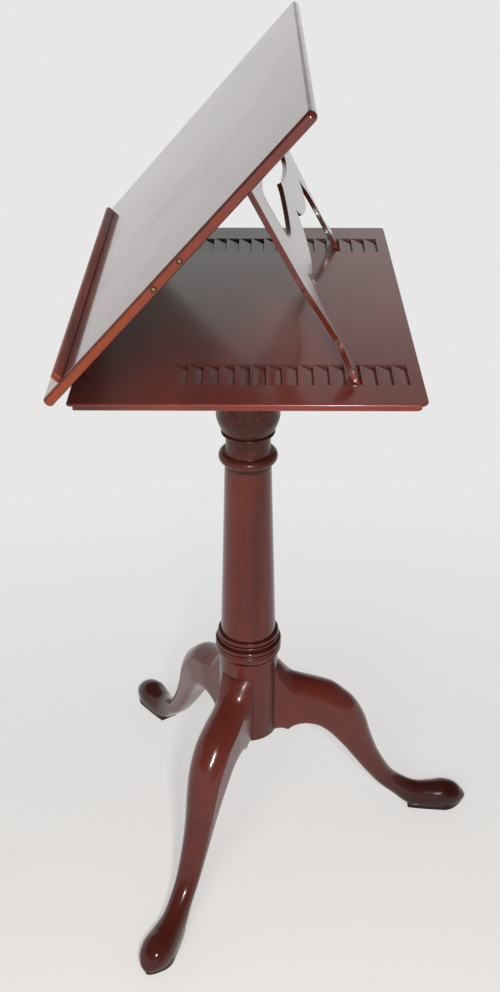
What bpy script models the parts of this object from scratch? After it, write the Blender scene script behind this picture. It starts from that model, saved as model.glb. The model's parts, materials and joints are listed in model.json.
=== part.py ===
"""A mahogany reading table: a book slope hinged on a flat bed, held by a ratchet strut.

The bed stands on a turned column with three cabriole legs dovetailed into its drum.
X runs across the table, Y along the slope's hinge, +Z up; all sizes are in metres.
The model is drawn about the column's axis and then moved so that the middle of its
outer box stands over the origin.
"""

from math import acos, atan2, cos, hypot, pi, sin

import bmesh
import bpy
from mathutils import Matrix, Vector

# Clearances between pieces that touch, and the overrun of every cutter
GAP = 0.0003
FOOT_GAP = 0.0004
OVERRUN = 0.004
MERGE = 0.00005
ARRIS = 0.0006
SMALLEST_RADIUS = 0.0004

# Bed: a thin lip over a narrower board
BED_TOP = 0.720
BED_DEPTH = 0.318
BED_LENGTH = 0.468
BED_CENTRE_X = 0.0012
LIP_THICKNESS = 0.0026
LIP_REACH = 0.0050
UNDER_THICKNESS = 0.0067
UNDER_ROUND = 0.0020
CORNER_FRONT_RIGHT = 0.0100
CORNER_OTHER = 0.0040
BED_THICKNESS = LIP_THICKNESS + UNDER_THICKNESS

# Ratchet: two rows of saw-tooth notches along X
NOTCH_COUNT = 15
NOTCH_PITCH = 0.01445
NOTCH_DEPTH = 0.0032
NOTCH_CREST = 0.00015
NOTCH_START_X = -0.0690
ROW_WIDTH = 0.0445
ROW_MARGIN = 0.0387
FOOT_NOTCH = 12

# Slope: the book board, its hinge line and its lip for the book
SLOPE_DEPTH = 0.3365
SLOPE_LENGTH = 0.4866
SLOPE_THICKNESS = 0.0100
SLOPE_CORNER = 0.0120
SLOPE_LOW_CORNER = 0.0040
SLOPE_BELOW_AXIS = 0.0086
BULLNOSE_REACH = 0.0038
LEDGE_SETBACK = 0.0225
LEDGE_THICKNESS = 0.0062
LEDGE_HEIGHT = 0.0084
LEDGE_FRONT_MARGIN = 0.0040
LEDGE_BACK_MARGIN = 0.0325
LEDGE_ROUND = 0.0022
EDGE_PIN_RADIUS = 0.0011
EDGE_PIN_LENGTH = 0.0100
EDGE_PIN_SHARES = (0.431, 0.528)

# Strut: a fretted frame hinged under the slope, its feet in the notches
STRUT_LENGTH = 0.2095
STRUT_THICKNESS = 0.0050
PIVOT_UP_SLOPE = 0.2405
PIVOT_DROP = 0.0055
STRUT_HALF_WIDTH = 0.1960
HINGE_SETBACK = 0.0027
TOP_RAIL_DEPTH = 0.0220
OPENING_ROUND = 0.0080
FOOT_INNER = 0.1530
FOOT_OUTER = 0.1725
FOOT_ROUND_HEIGHT = 0.0340
FOOT_SPARE = 0.0020
LEG_INNER = 0.1410
RAIL_PEAK = 0.1470
CLEAT_WIDTH = 0.0220
CLEAT_MARGIN = 0.0010

# Butt hinges: slope to bed, and strut to cleat
SLOPE_HINGE_LENGTH = 0.0400
SLOPE_HINGE_LEAF = 0.0180
SLOPE_HINGE_PLATE = 0.0015
SLOPE_BARREL = 0.0035
SLOPE_PIN = 0.0014
SLOPE_HINGE_SHARE = 0.513
STRUT_HINGE_LENGTH = 0.0300
STRUT_HINGE_LEAF = 0.0130
STRUT_HINGE_PLATE = 0.0010
STRUT_BARREL = 0.0023
STRUT_PIN = 0.0010
STRUT_HINGE_SHARE = 0.638
HINGE_SIDES = 16

# Under the bed: a block on the column's tenon, and two bearers across the grain
BLOCK_SIZE = 0.1100
BLOCK_THICKNESS = 0.0200
BEARER_LENGTH = 0.2600
BEARER_WIDTH = 0.0240
BEARER_DEPTH = 0.0160
BEARER_TAPER = 0.0300
SCREW_SHANK = 0.0022
SCREW_HEAD = 0.0044
SCREW_HEAD_HEIGHT = 0.0024
SCREW_BITE = 0.0050
SCREW_X = 0.0900
SCREW_SIDES = 16

# Column: its members from the drum upwards
DRUM_BOTTOM = 0.1500
DRUM_TOP = 0.2690
DRUM_RADIUS = 0.0360
RING_GROUP_HEIGHT = 0.0332
SHAFT_LENGTH = 0.2268
SHAFT_LOW_RADIUS = 0.0329
SHAFT_HIGH_RADIUS = 0.0263
COLLAR_FILLET_HEIGHT = 0.0045
COLLAR_FILLET_RADIUS = 0.0270
COLLAR_HEIGHT = 0.0125
COLLAR_RADIUS = 0.0332
NECK_HEIGHT = 0.0205
NECK_RADIUS = 0.0250
NECK_EDGE_RADIUS = 0.0262
LIP_FILLET_HEIGHT = 0.0050
LIP_FILLET_RADIUS = 0.0298
VASE_HEIGHT = 0.0880
VASE_RADIUS = 0.0352
VASE_NECK_RADIUS = 0.0245
CAPITAL_RADIUS = 0.0420
TENON_RADIUS = 0.0170
TENON_SHORT = 0.0010
COLUMN_STEPS = 30

# Legs: outline in the leg's own upright plane, and the dovetail in the drum
LEG_AZIMUTHS = {"leg_right": 3.5, "leg_back": 123.3, "leg_front": 246.5}
LEG_REACH = 0.2905
KNEE_HEIGHT = 0.2080
LEG_WIDTH = 0.0445
SOLE_WIDTH = 0.0400
SOLE_HEIGHT = 0.0065
TONGUE_DEPTH = 0.0110
TONGUE_NECK = 0.0060
TONGUE_TAIL = 0.0085
TONGUE_TOP = 0.2240
TONGUE_LIFT = 0.0045
TONGUE_ROOT = 0.0060
LEG_SAMPLES = 2
CROWN_SIDES = 8
LEG_SIDES = 8

# Iron plate that ties the legs under the drum
SPIDER_THICKNESS = 0.0025
SPIDER_RADIUS = 0.0280
SPIDER_REACH = 0.0480
SPIDER_ARM = 0.0065

# Outlines as shares. Leg: upper (r, z), lower (r, z), width, squareness of the lower
# half, crown's depth, crown's arris; r as a share of LEG_REACH, z of KNEE_HEIGHT,
# width of LEG_WIDTH, depth of the section's own height, arris of a right angle.
LEG_SHARES = (
    (0.096, 1.231, 0.096, 0.724, 0.90, 0.14, 0.04, 0.33),
    (0.140, 1.168, 0.139, 0.736, 0.92, 0.14, 0.14, 0.33),
    (0.184, 1.101, 0.169, 0.724, 0.94, 0.15, 0.19, 0.33),
    (0.234, 1.068, 0.199, 0.757, 0.97, 0.16, 0.23, 0.33),
    (0.285, 1.042, 0.244, 0.770, 1.00, 0.18, 0.25, 0.33),
    (0.366, 0.998, 0.298, 0.750, 1.00, 0.20, 0.26, 0.33),
    (0.421, 0.936, 0.341, 0.702, 0.99, 0.24, 0.28, 0.33),
    (0.470, 0.862, 0.379, 0.635, 0.94, 0.28, 0.30, 0.32),
    (0.514, 0.741, 0.417, 0.560, 0.87, 0.34, 0.36, 0.28),
    (0.546, 0.592, 0.461, 0.464, 0.78, 0.42, 0.42, 0.20),
    (0.586, 0.441, 0.516, 0.344, 0.70, 0.54, 0.47, 0.10),
    (0.648, 0.284, 0.585, 0.212, 0.63, 0.70, 0.50, 0.00),
    (0.708, 0.207, 0.657, 0.112, 0.61, 0.78, 0.50, 0.00),
    (0.775, 0.161, 0.726, 0.031, 0.66, 0.60, 0.56, 0.00),
    (0.847, 0.151, 0.799, 0.022, 0.80, 0.40, 0.65, 0.00),
    (0.904, 0.154, 0.881, 0.020, 0.90, 0.36, 0.70, 0.00),
    (0.955, 0.127, 0.943, 0.022, 0.76, 0.38, 0.70, 0.00),
    (0.988, 0.077, 0.981, 0.028, 0.42, 0.50, 0.60, 0.00),
    (1.000, 0.048, 0.996, 0.037, 0.15, 0.80, 0.50, 0.00),
)
# Sole: r as a share of LEG_REACH, half width as a share of SOLE_WIDTH, from the heel
SOLE_SHARES = (
    (0.731, 0.298), (0.773, 0.365), (0.822, 0.425), (0.871, 0.475), (0.902, 0.500),
    (0.933, 0.440), (0.960, 0.300), (0.978, 0.175), (0.989, 0.062),
)
# Rings above the drum, from below: height as a share of RING_GROUP_HEIGHT, then the
# radii of the lower edge, peak and upper edge as shares of DRUM_RADIUS.
RING_SHARES = (
    (0.075, 0.958, 0.958, 0.958),
    (0.274, 1.006, 1.103, 1.056),
    (0.108, 1.067, 1.106, 1.067),
    (0.175, 1.061, 1.106, 1.017),
    (0.072, 1.000, 1.000, 1.000),
    (0.108, 0.994, 1.033, 0.994),
    (0.188, 0.978, 1.017, 0.933),
)
# Fretted rail: y as a share of LEG_INNER, height above the feet of RAIL_PEAK
RAIL_UPPER_SHARES = ((0.0, 1.0), (0.10, 0.965), (0.45, 0.915), (0.78, 0.895), (0.985, 0.935))
RAIL_LOWER_SHARES = ((0.0, 0.782), (0.13, 0.70), (0.40, 0.625), (0.66, 0.600), (0.88, 0.630), (1.012, 0.685))
# Strut's outer edge above the rounded foot: half width share, height share
STRUT_SIDE_SHARES = ((0.972, 0.162), (0.992, 0.36), (1.0, 0.56), (0.992, 0.78), (0.975, 0.99))
LEG_KINK_SHARES = (0.48, 0.67)
FOOT_CURVE_SHARES = ((0.0, 0.0), (0.36, 0.16), (0.72, 0.45), (0.92, 0.76), (1.0, 1.0))
VASE_SHARES = ((0.0, 0.30), (0.06, 0.62), (0.18, 0.96), (0.27, 1.0), (0.42, 0.86), (0.62, 0.34), (0.80, 0.05))

MAHOGANY = (0.235, 0.062, 0.034)
DARK_MAHOGANY = (0.150, 0.030, 0.020)
RAW_MAHOGANY = (0.260, 0.110, 0.060)
BRASS = (0.640, 0.460, 0.190)
IRON = (0.090, 0.085, 0.080)


def clear_scene():
    """Remove every object, so that the model starts from an empty scene."""
    for old in list(bpy.data.objects):
        bpy.data.objects.remove(old, do_unlink=True)


def collection(name):
    """Return a collection of this name, linked to the scene."""
    group = bpy.data.collections.new(name)
    bpy.context.scene.collection.children.link(group)
    return group


def finish(piece, colour, roughness, metallic=0.0):
    """Give a piece its own Principled material."""
    surface = bpy.data.materials.new(piece.name + "_finish")
    surface.use_nodes = True
    shader = surface.node_tree.nodes["Principled BSDF"]
    shader.inputs["Base Color"].default_value = (*colour, 1.0)
    shader.inputs["Roughness"].default_value = roughness
    shader.inputs["Metallic"].default_value = metallic
    surface.diffuse_color = (*colour, 1.0)
    piece.data.materials.clear()
    piece.data.materials.append(surface)


def add(name, mesh, group, parent=None):
    """Make an object of a mesh in a collection, under a parent that may be None."""
    piece = bpy.data.objects.new(name, mesh)
    group.objects.link(piece)
    piece.parent = parent
    if group is CUTTERS:
        piece.hide_render = True
        piece.display_type = "WIRE"
    return piece


def empty(name, parent=None, location=(0, 0, 0), turn_y=0.0):
    """Add an empty, turned about Y, that carries a group of pieces."""
    carrier = bpy.data.objects.new(name, None)
    PARTS.objects.link(carrier)
    carrier.parent = parent
    carrier.location = location
    carrier.rotation_euler = (0, turn_y, 0)
    return carrier


def box(name, group, size, centre, parent=None):
    """Add a box from a cube, its scale already in its mesh."""
    mesh = bpy.data.meshes.new(name)
    work = bmesh.new()
    bmesh.ops.create_cube(work, size=1.0, matrix=Matrix.Diagonal((*size, 1.0)))
    work.to_mesh(mesh)
    work.free()
    piece = add(name, mesh, group, parent)
    piece.location = centre
    return piece


def rod(name, group, radius, length, centre, parent=None, sides=16, along_y=True, radius_top=None):
    """Add a cylinder, or a cone, along Y or Z."""
    mesh = bpy.data.meshes.new(name)
    work = bmesh.new()
    top = radius if radius_top is None else radius_top
    bmesh.ops.create_cone(work, cap_ends=True, segments=sides, radius1=radius, radius2=top, depth=length)
    if along_y:
        bmesh.ops.rotate(work, verts=work.verts, matrix=Matrix.Rotation(-pi / 2, 3, "X"))
    work.to_mesh(mesh)
    work.free()
    smooth(mesh)
    piece = add(name, mesh, group, parent)
    piece.location = centre
    return piece


def smooth(mesh, angle=0.6):
    """Shade a round mesh smooth, with its arrises kept sharp."""
    mesh.shade_smooth()
    mesh.set_sharp_from_angle(angle=angle)


def loft(name, rings):
    """Make a closed mesh through rings of as many points each."""
    mesh = bpy.data.meshes.new(name)
    work = bmesh.new()
    rows = [[work.verts.new(point) for point in ring] for ring in rings]
    for near, far in zip(rows, rows[1:]):
        for i, point in enumerate(near):
            j = (i + 1) % len(near)
            work.faces.new((point, near[j], far[j], far[i]))
    work.faces.new(list(reversed(rows[0])))
    work.faces.new(rows[-1])
    bmesh.ops.recalc_face_normals(work, faces=work.faces)
    work.to_mesh(mesh)
    work.free()
    return mesh


def plate(name, group, outlines, thickness, parent=None):
    """Extrude flat outlines, holes included, by a 2D curve; it lies about z = 0."""
    flat = bpy.data.curves.new(name, "CURVE")
    flat.dimensions = "2D"
    flat.fill_mode = "BOTH"
    flat.extrude = thickness / 2
    for outline in outlines:
        spline = flat.splines.new("POLY")
        spline.points.add(len(outline) - 1)
        for knot, (x, y) in zip(spline.points, outline):
            knot.co = (x, y, 0, 1)
        spline.use_cyclic_u = True
    drawn = bpy.data.objects.new(name + "_outline", flat)
    group.objects.link(drawn)
    mesh = mesh_of(drawn)
    mesh.name = name
    bpy.data.objects.remove(drawn, do_unlink=True)
    work = bmesh.new()
    work.from_mesh(mesh)
    bmesh.ops.remove_doubles(work, verts=work.verts, dist=MERGE)
    bmesh.ops.recalc_face_normals(work, faces=work.faces)
    work.to_mesh(mesh)
    work.free()
    return add(name, mesh, group, parent)


def mesh_of(piece):
    """Return a mesh of a piece as its modifiers leave it."""
    bpy.context.view_layer.update()
    graph = bpy.context.evaluated_depsgraph_get()
    return bpy.data.meshes.new_from_object(piece.evaluated_get(graph))


def settle(piece):
    """Replace a piece's mesh by its evaluated one, without modifiers."""
    mesh = mesh_of(piece)
    mesh.name = piece.name
    piece.modifiers.clear()
    piece.data = mesh


def boolean(piece, cutter, operation="DIFFERENCE"):
    """Cut a piece with a cutter, or join the cutter to it."""
    step = piece.modifiers.new(cutter.name, "BOOLEAN")
    step.operation = operation
    step.solver = "EXACT"
    step.object = cutter


def bevel(piece, width, segments=1):
    """Round a piece's sharp edges."""
    step = piece.modifiers.new("arris", "BEVEL")
    step.width = width
    step.segments = segments
    step.limit_method = "ANGLE"


def turned(name, group, profile, steps, parent=None):
    """Revolve a profile of (radius, height) points, listed from top to bottom."""
    mesh = bpy.data.meshes.new(name)
    work = bmesh.new()
    line = [work.verts.new((radius, 0, height)) for radius, height in profile]
    for upper, lower in zip(line, line[1:]):
        work.edges.new((upper, lower))
    work.to_mesh(mesh)
    work.free()
    piece = add(name, mesh, group, parent)
    step = piece.modifiers.new("turning", "SCREW")
    step.axis = "Z"
    step.angle = 2 * pi
    step.steps = steps
    step.render_steps = steps
    step.use_merge_vertices = True
    step.merge_threshold = MERGE
    step.use_smooth_shade = True
    return piece


def spline_through(points, count):
    """Sample a smooth curve through points, with count steps between neighbours."""
    knots = [Vector(point) for point in points]
    ends = [2 * knots[0] - knots[1]] + knots + [2 * knots[-1] - knots[-2]]
    samples = []
    for a, b, c, d in zip(ends, ends[1:], ends[2:], ends[3:]):
        for i in range(count):
            t = i / count
            samples.append(
                (2 * b + (c - a) * t + (2 * a - 5 * b + 4 * c - d) * t**2 + (3 * b - a - 3 * c + d) * t**3) / 2
            )
    samples.append(knots[-1])
    return samples


def bead(upper_edge, peak, lower_edge, top, height, count=6):
    """Return a convex member's profile, from top to bottom."""
    points = []
    for i in range(count + 1):
        angle = pi * i / count
        edge = upper_edge + (lower_edge - upper_edge) * i / count
        points.append((edge + (peak - edge) * sin(angle), top - height * (1 - cos(angle)) / 2))
    return points


def rounded_ring(half_x, half_y, radii, inset, height, segments=5):
    """Return a rectangle with rounded corners, drawn in by an inset, at a height."""
    ring = []
    corners = ((1, -1), (1, 1), (-1, 1), (-1, -1))
    for turn, ((side_x, side_y), corner) in enumerate(zip(corners, radii)):
        radius = max(corner - inset, SMALLEST_RADIUS)
        centre_x = side_x * (half_x - inset - radius)
        centre_y = side_y * (half_y - inset - radius)
        for i in range(segments + 1):
            angle = (turn - 1 + i / segments) * pi / 2
            ring.append((centre_x + radius * cos(angle), centre_y + radius * sin(angle), height))
    return ring


def moulded_board(name, size_x, size_y, radii, profile, parent):
    """Make a board whose edge follows a profile of (inset, height) points."""
    rings = [rounded_ring(size_x / 2, size_y / 2, radii, inset, height) for inset, height in profile]
    mesh = loft(name, rings)
    smooth(mesh)
    return add(name, mesh, PARTS, parent)


def slope_geometry():
    """Work out the slope's angle and the strut's, with the foot in its notch.

    Returns the hinge axis, the slope's angle above the bed, and the strut's angle
    below the horizontal.
    """
    axis = Vector((BED_CENTRE_X - BED_DEPTH / 2 - SLOPE_BARREL, 0, BED_TOP + SLOPE_BARREL))
    foot_x = NOTCH_START_X + FOOT_NOTCH * NOTCH_PITCH - FOOT_GAP
    foot_z = BED_TOP - NOTCH_DEPTH + GAP
    drop = PIVOT_DROP - SLOPE_BARREL
    arm = hypot(PIVOT_UP_SLOPE, drop)
    reach = hypot(foot_x - axis.x, foot_z - axis.z)
    opening = acos((arm**2 + reach**2 - STRUT_LENGTH**2) / (2 * arm * reach))
    slope_angle = opening + atan2(foot_z - axis.z, foot_x - axis.x) + atan2(drop, PIVOT_UP_SLOPE)
    pivot_x = axis.x + PIVOT_UP_SLOPE * cos(slope_angle) + drop * sin(slope_angle)
    pivot_z = axis.z + PIVOT_UP_SLOPE * sin(slope_angle) - drop * cos(slope_angle)
    strut_angle = atan2(pivot_z - foot_z, foot_x - pivot_x)
    return axis, slope_angle, strut_angle


def make_bed(root):
    """Make the bed: a lipped board with two rows of notches."""
    lip_round = LIP_THICKNESS / 4
    profile = []
    for i in range(4):
        angle = i / 3 * pi / 2
        profile.append((LIP_REACH + UNDER_ROUND * (1 - sin(angle)), UNDER_ROUND * (1 - cos(angle))))
    profile.append((LIP_REACH, UNDER_THICKNESS - UNDER_ROUND))
    profile.append((LIP_REACH - UNDER_ROUND / 2, UNDER_THICKNESS - UNDER_ROUND / 4))
    profile.append((lip_round, UNDER_THICKNESS))
    profile.append((0, UNDER_THICKNESS + lip_round))
    profile.append((0, BED_THICKNESS - lip_round))
    profile.append((lip_round, BED_THICKNESS))
    radii = (CORNER_FRONT_RIGHT, CORNER_OTHER, CORNER_OTHER, CORNER_OTHER)
    bed = moulded_board("bed", BED_DEPTH, BED_LENGTH, radii, profile, root)
    bed.location = (BED_CENTRE_X, 0, BED_TOP - BED_THICKNESS)
    finish(bed, MAHOGANY, 0.28)
    outline = [(NOTCH_START_X, NOTCH_CREST)]
    for notch in range(1, NOTCH_COUNT + 1):
        wall = NOTCH_START_X + notch * NOTCH_PITCH
        outline += [(wall, -NOTCH_DEPTH), (wall, NOTCH_CREST)]
    outline[-1] = (outline[-1][0], OVERRUN)
    outline.append((NOTCH_START_X, OVERRUN))
    for row, side in (("front", -1), ("back", 1)):
        comb = plate("notches_" + row, CUTTERS, [outline], ROW_WIDTH, root)
        comb.rotation_euler = (pi / 2, 0, 0)
        comb.location = (0, side * (BED_LENGTH / 2 - ROW_MARGIN - ROW_WIDTH / 2), BED_TOP)
        boolean(bed, comb)
    return bed


def make_underframe(root, bed):
    """Make the block on the column's tenon, the bearers and their screws."""
    under = BED_TOP - BED_THICKNESS - GAP
    block = box("top_block", PARTS, (BLOCK_SIZE, BLOCK_SIZE, BLOCK_THICKNESS),
                (0, 0, under - BLOCK_THICKNESS / 2), root)
    bevel(block, ARRIS)
    mortise = rod("tenon_mortise", CUTTERS, TENON_RADIUS + GAP, BLOCK_THICKNESS + 2 * OVERRUN,
                  (0, 0, under - BLOCK_THICKNESS / 2), root, COLUMN_STEPS, along_y=False)
    boolean(block, mortise)
    finish(block, RAW_MAHOGANY, 0.6)
    half, deep = BEARER_LENGTH / 2, BEARER_DEPTH
    outline = [(-half, 0), (-half, -deep / 3), (-half + BEARER_TAPER, -deep),
               (half - BEARER_TAPER, -deep), (half, -deep / 3), (half, 0)]
    for row, side in (("front", -1), ("back", 1)):
        centre_y = side * (BLOCK_SIZE / 2 + GAP + BEARER_WIDTH / 2)
        bearer = plate("bearer_" + row, PARTS, [outline], BEARER_WIDTH, root)
        bearer.rotation_euler = (pi / 2, 0, 0)
        bearer.location = (0, centre_y, under)
        bevel(bearer, ARRIS)
        finish(bearer, RAW_MAHOGANY, 0.55)
        for end, way in (("left", -1), ("right", 1)):
            make_screw("screw_%s_%s" % (row, end), way * SCREW_X, centre_y, under, root, (bearer, bed))


def make_screw(name, x, y, under, root, carriers):
    """Make a countersunk screw up through a bearer, with its holes."""
    foot = under - BEARER_DEPTH
    length = BEARER_DEPTH + SCREW_BITE
    shank_mid = foot + GAP + length / 2
    head_mid = foot + SCREW_HEAD_HEIGHT / 2
    for group, spare, prefix in ((PARTS, 0, ""), (CUTTERS, GAP, "hole_")):
        shank = rod(prefix + name, group, SCREW_SHANK + spare, length + spare,
                    (x, y, shank_mid), root, SCREW_SIDES, along_y=False)
        head = rod("head_" + prefix + name, CUTTERS, SCREW_HEAD + spare, SCREW_HEAD_HEIGHT + spare,
                   (x, y, head_mid), root, SCREW_SIDES, along_y=False, radius_top=SCREW_SHANK + spare)
        if group is PARTS:
            boolean(shank, head, "UNION")
            finish(shank, IRON, 0.45, 1.0)
        else:
            for carrier in carriers:
                boolean(carrier, shank)
            boolean(carriers[0], head)


def column_profile(top):
    """Return the column's profile from its tenon down to the drum's foot."""
    heights = [DRUM_TOP + RING_GROUP_HEIGHT]
    for height in (SHAFT_LENGTH, COLLAR_FILLET_HEIGHT, COLLAR_HEIGHT, NECK_HEIGHT, LIP_FILLET_HEIGHT, VASE_HEIGHT):
        heights.append(heights[-1] + height)
    (ring_top, fillet, collar, neck, lip, vase_low, vase_top) = heights
    profile = [(0, top + BLOCK_THICKNESS - TENON_SHORT), (TENON_RADIUS, top + BLOCK_THICKNESS - TENON_SHORT),
               (TENON_RADIUS, top), (CAPITAL_RADIUS, top), (CAPITAL_RADIUS, vase_top + ARRIS)]
    profile += spline_through([(CAPITAL_RADIUS - ARRIS, vase_top)] + [
        (VASE_NECK_RADIUS + (VASE_RADIUS - VASE_NECK_RADIUS) * bulge, vase_low + VASE_HEIGHT * rise)
        for rise, bulge in reversed(VASE_SHARES)], 2)
    profile += [(LIP_FILLET_RADIUS, vase_low), (LIP_FILLET_RADIUS, lip + LIP_FILLET_HEIGHT / 2),
                (NECK_EDGE_RADIUS, lip + LIP_FILLET_HEIGHT / 2), (NECK_EDGE_RADIUS, lip)]
    profile += bead(NECK_EDGE_RADIUS, NECK_RADIUS, NECK_EDGE_RADIUS, lip, NECK_HEIGHT, 5)[1:]
    profile += bead(COLLAR_FILLET_RADIUS, COLLAR_RADIUS, COLLAR_FILLET_RADIUS, neck, COLLAR_HEIGHT, 7)
    profile += [(COLLAR_FILLET_RADIUS, fillet), (SHAFT_HIGH_RADIUS, fillet), (SHAFT_LOW_RADIUS, ring_top)]
    level = ring_top
    for share, low_edge, peak, high_edge in reversed(RING_SHARES):
        height = share * RING_GROUP_HEIGHT
        low, high = low_edge * DRUM_RADIUS, high_edge * DRUM_RADIUS
        if peak > high_edge:
            profile += bead(high, peak * DRUM_RADIUS, low, level, height, 5 if share < RING_SHARES[1][0] else 7)
        else:
            profile += [(high, level), (low, level - height)]
        level -= height
    profile += [(DRUM_RADIUS, level), (DRUM_RADIUS, DRUM_BOTTOM), (0, DRUM_BOTTOM)]
    return [tuple(point) for point in profile]


def tongue_outline(spare):
    """Return the dovetail's plan, its tail towards the axis."""
    tail_x = DRUM_RADIUS - TONGUE_DEPTH - spare
    root_x = DRUM_RADIUS + TONGUE_ROOT
    slope = (TONGUE_TAIL - TONGUE_NECK) / TONGUE_DEPTH
    root_half = TONGUE_NECK + spare - slope * TONGUE_ROOT
    return [(tail_x, -TONGUE_TAIL - spare), (root_x, -root_half), (root_x, root_half),
            (tail_x, TONGUE_TAIL + spare)]


def make_column(root):
    """Turn the column and cut the three dovetail sockets in its drum."""
    top = BED_TOP - BED_THICKNESS - 2 * GAP - BLOCK_THICKNESS
    column = turned("column", PARTS, column_profile(top), COLUMN_STEPS, root)
    socket_top = TONGUE_TOP + GAP
    socket_height = socket_top - DRUM_BOTTOM + OVERRUN
    for name, azimuth in LEG_AZIMUTHS.items():
        socket = plate("socket_" + name, CUTTERS, [tongue_outline(GAP)], socket_height, root)
        socket.location = (0, 0, socket_top - socket_height / 2)
        socket.rotation_euler = (0, 0, azimuth * pi / 180)
        boolean(column, socket)
    finish(column, DARK_MAHOGANY, 0.22)


def leg_section(upper, lower, width, squareness, crown, arris):
    """Return a section square to the leg's plane: a crown with arrises over a rounded body.

    squareness shapes the body below the arrises, crown is the crown's depth as a share
    of the section's height, and arris the angle its arc leaves out at either end.
    """
    middle, rise = (upper + lower) / 2, (upper - lower) / 2
    start = arris * pi / 2
    spring = 1 - 2 * crown
    shape = []
    for i in range(CROWN_SIDES + 1):
        angle = start + (pi - 2 * start) * i / CROWN_SIDES
        swell = (sin(angle) - sin(start)) / (1 - sin(start))
        shape.append((cos(angle) / cos(start), spring + 2 * crown * swell))
    for i in range(1, LEG_SIDES):
        angle = pi * (1 + i / LEG_SIDES)
        side = -1 if i * 2 < LEG_SIDES else 1
        shape.append((side * abs(cos(angle)) ** squareness, spring - (1 + spring) * abs(sin(angle)) ** squareness))
    ring = []
    for across, along in shape:
        point = middle + rise * along
        ring.append((point.x, width / 2 * across, point.y))
    return ring


def make_legs(root):
    """Shape one leg with its slipper foot and its dovetail, and stand three of them."""
    uppers, lowers, widths, crowns = [], [], [], []
    for upper_r, upper_z, lower_r, lower_z, width, square, crown, arris in LEG_SHARES:
        uppers.append((upper_r * LEG_REACH, upper_z * KNEE_HEIGHT))
        lowers.append((lower_r * LEG_REACH, lower_z * KNEE_HEIGHT))
        widths.append((width * LEG_WIDTH, square))
        crowns.append((crown, arris))
    rows = zip(*(spline_through(row, LEG_SAMPLES) for row in (uppers, lowers, widths, crowns)))
    mesh = loft("leg", [leg_section(a, b, w.x, min(w.y, 1.0), c.x, max(c.y, 0.0)) for a, b, w, c in rows])
    leg = add("leg_pattern", mesh, PARTS, root)
    drum = rod("drum_scribe", CUTTERS, DRUM_RADIUS + GAP, DRUM_TOP, (0, 0, DRUM_TOP / 2), root,
               COLUMN_STEPS, along_y=False)
    boolean(leg, drum)
    tongue_low = DRUM_BOTTOM + TONGUE_LIFT
    tongue = plate("tongue", CUTTERS, [tongue_outline(0)], TONGUE_TOP - tongue_low, root)
    tongue.location = (0, 0, (TONGUE_TOP + tongue_low) / 2)
    boolean(leg, tongue, "UNION")
    side = [(r * LEG_REACH, half * SOLE_WIDTH) for r, half in SOLE_SHARES]
    sole = plate("sole", CUTTERS, [side + [(r, -half) for r, half in reversed(side)]], SOLE_HEIGHT, root)
    sole.location = (0, 0, SOLE_HEIGHT / 2)
    boolean(leg, sole, "UNION")
    settle(leg)
    smooth(leg.data)
    for name, azimuth in LEG_AZIMUTHS.items():
        copy = add(name, leg.data.copy(), PARTS, root)
        copy.rotation_euler = (0, 0, azimuth * pi / 180)
        finish(copy, DARK_MAHOGANY, 0.2)
    bpy.data.objects.remove(leg, do_unlink=True)


def make_spider(root):
    """Make the three-armed iron plate under the drum."""
    azimuths = [azimuth * pi / 180 for azimuth in LEG_AZIMUTHS.values()]
    flare = atan2(SPIDER_ARM, SPIDER_RADIUS)
    outline = []
    for azimuth in azimuths:
        for angle, reach in ((-pi / 3, SPIDER_RADIUS * cos(pi / 6)), (-flare, SPIDER_RADIUS)):
            outline.append((reach * cos(azimuth + angle), reach * sin(azimuth + angle)))
        tip = atan2(SPIDER_ARM / 2, SPIDER_REACH)
        for angle in (-tip, 0, tip):
            reach = SPIDER_REACH + (SPIDER_ARM / 2 if angle == 0 else 0)
            outline.append((reach * cos(azimuth + angle), reach * sin(azimuth + angle)))
        outline.append((SPIDER_RADIUS * cos(azimuth + flare), SPIDER_RADIUS * sin(azimuth + flare)))
    spider = plate("spider_plate", PARTS, [outline], SPIDER_THICKNESS, root)
    spider.location = (0, 0, DRUM_BOTTOM - GAP - SPIDER_THICKNESS / 2)
    finish(spider, IRON, 0.5, 1.0)


def hinge_leaf(name, parent, sizes, outer):
    """Make a butt hinge's leaf: plate towards +X under the axis, barrel about Y.

    sizes are the hinge's length, leaf width, plate thickness, barrel radius, pin
    radius and the distance of the plate's far face from the axis.
    """
    length, leaf, thickness, barrel, pin, far_face = sizes
    clear = barrel + 2 * GAP
    third = length / 6
    inner = third + GAP / 2 if outer else third - GAP / 2
    if outer:
        outline = [(leaf, -length / 2), (leaf, length / 2), (0, length / 2), (0, inner),
                   (clear, inner), (clear, -inner), (0, -inner), (0, -length / 2)]
        spans = [((inner + length / 2) / 2, length / 2 - inner), (-(inner + length / 2) / 2, length / 2 - inner)]
    else:
        outline = [(leaf, -length / 2), (leaf, length / 2), (clear, length / 2), (clear, inner),
                   (0, inner), (0, -inner), (clear, -inner), (clear, -length / 2)]
        spans = [(0, 2 * inner)]
    piece = plate(name, PARTS, [outline], thickness, parent)
    piece.data.transform(Matrix.Translation((0, 0, thickness / 2 - far_face)))
    for number, (centre, span) in enumerate(spans):
        knuckle = rod("knuckle_%s_%d" % (name, number), CUTTERS, barrel, span, (0, centre, 0), piece, HINGE_SIDES)
        boolean(piece, knuckle, "UNION")
    bore = rod("bore_" + name, CUTTERS, pin + GAP, length + OVERRUN, (0, 0, 0), piece, HINGE_SIDES)
    boolean(piece, bore)
    finish(piece, BRASS, 0.35, 1.0)
    return piece


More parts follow.
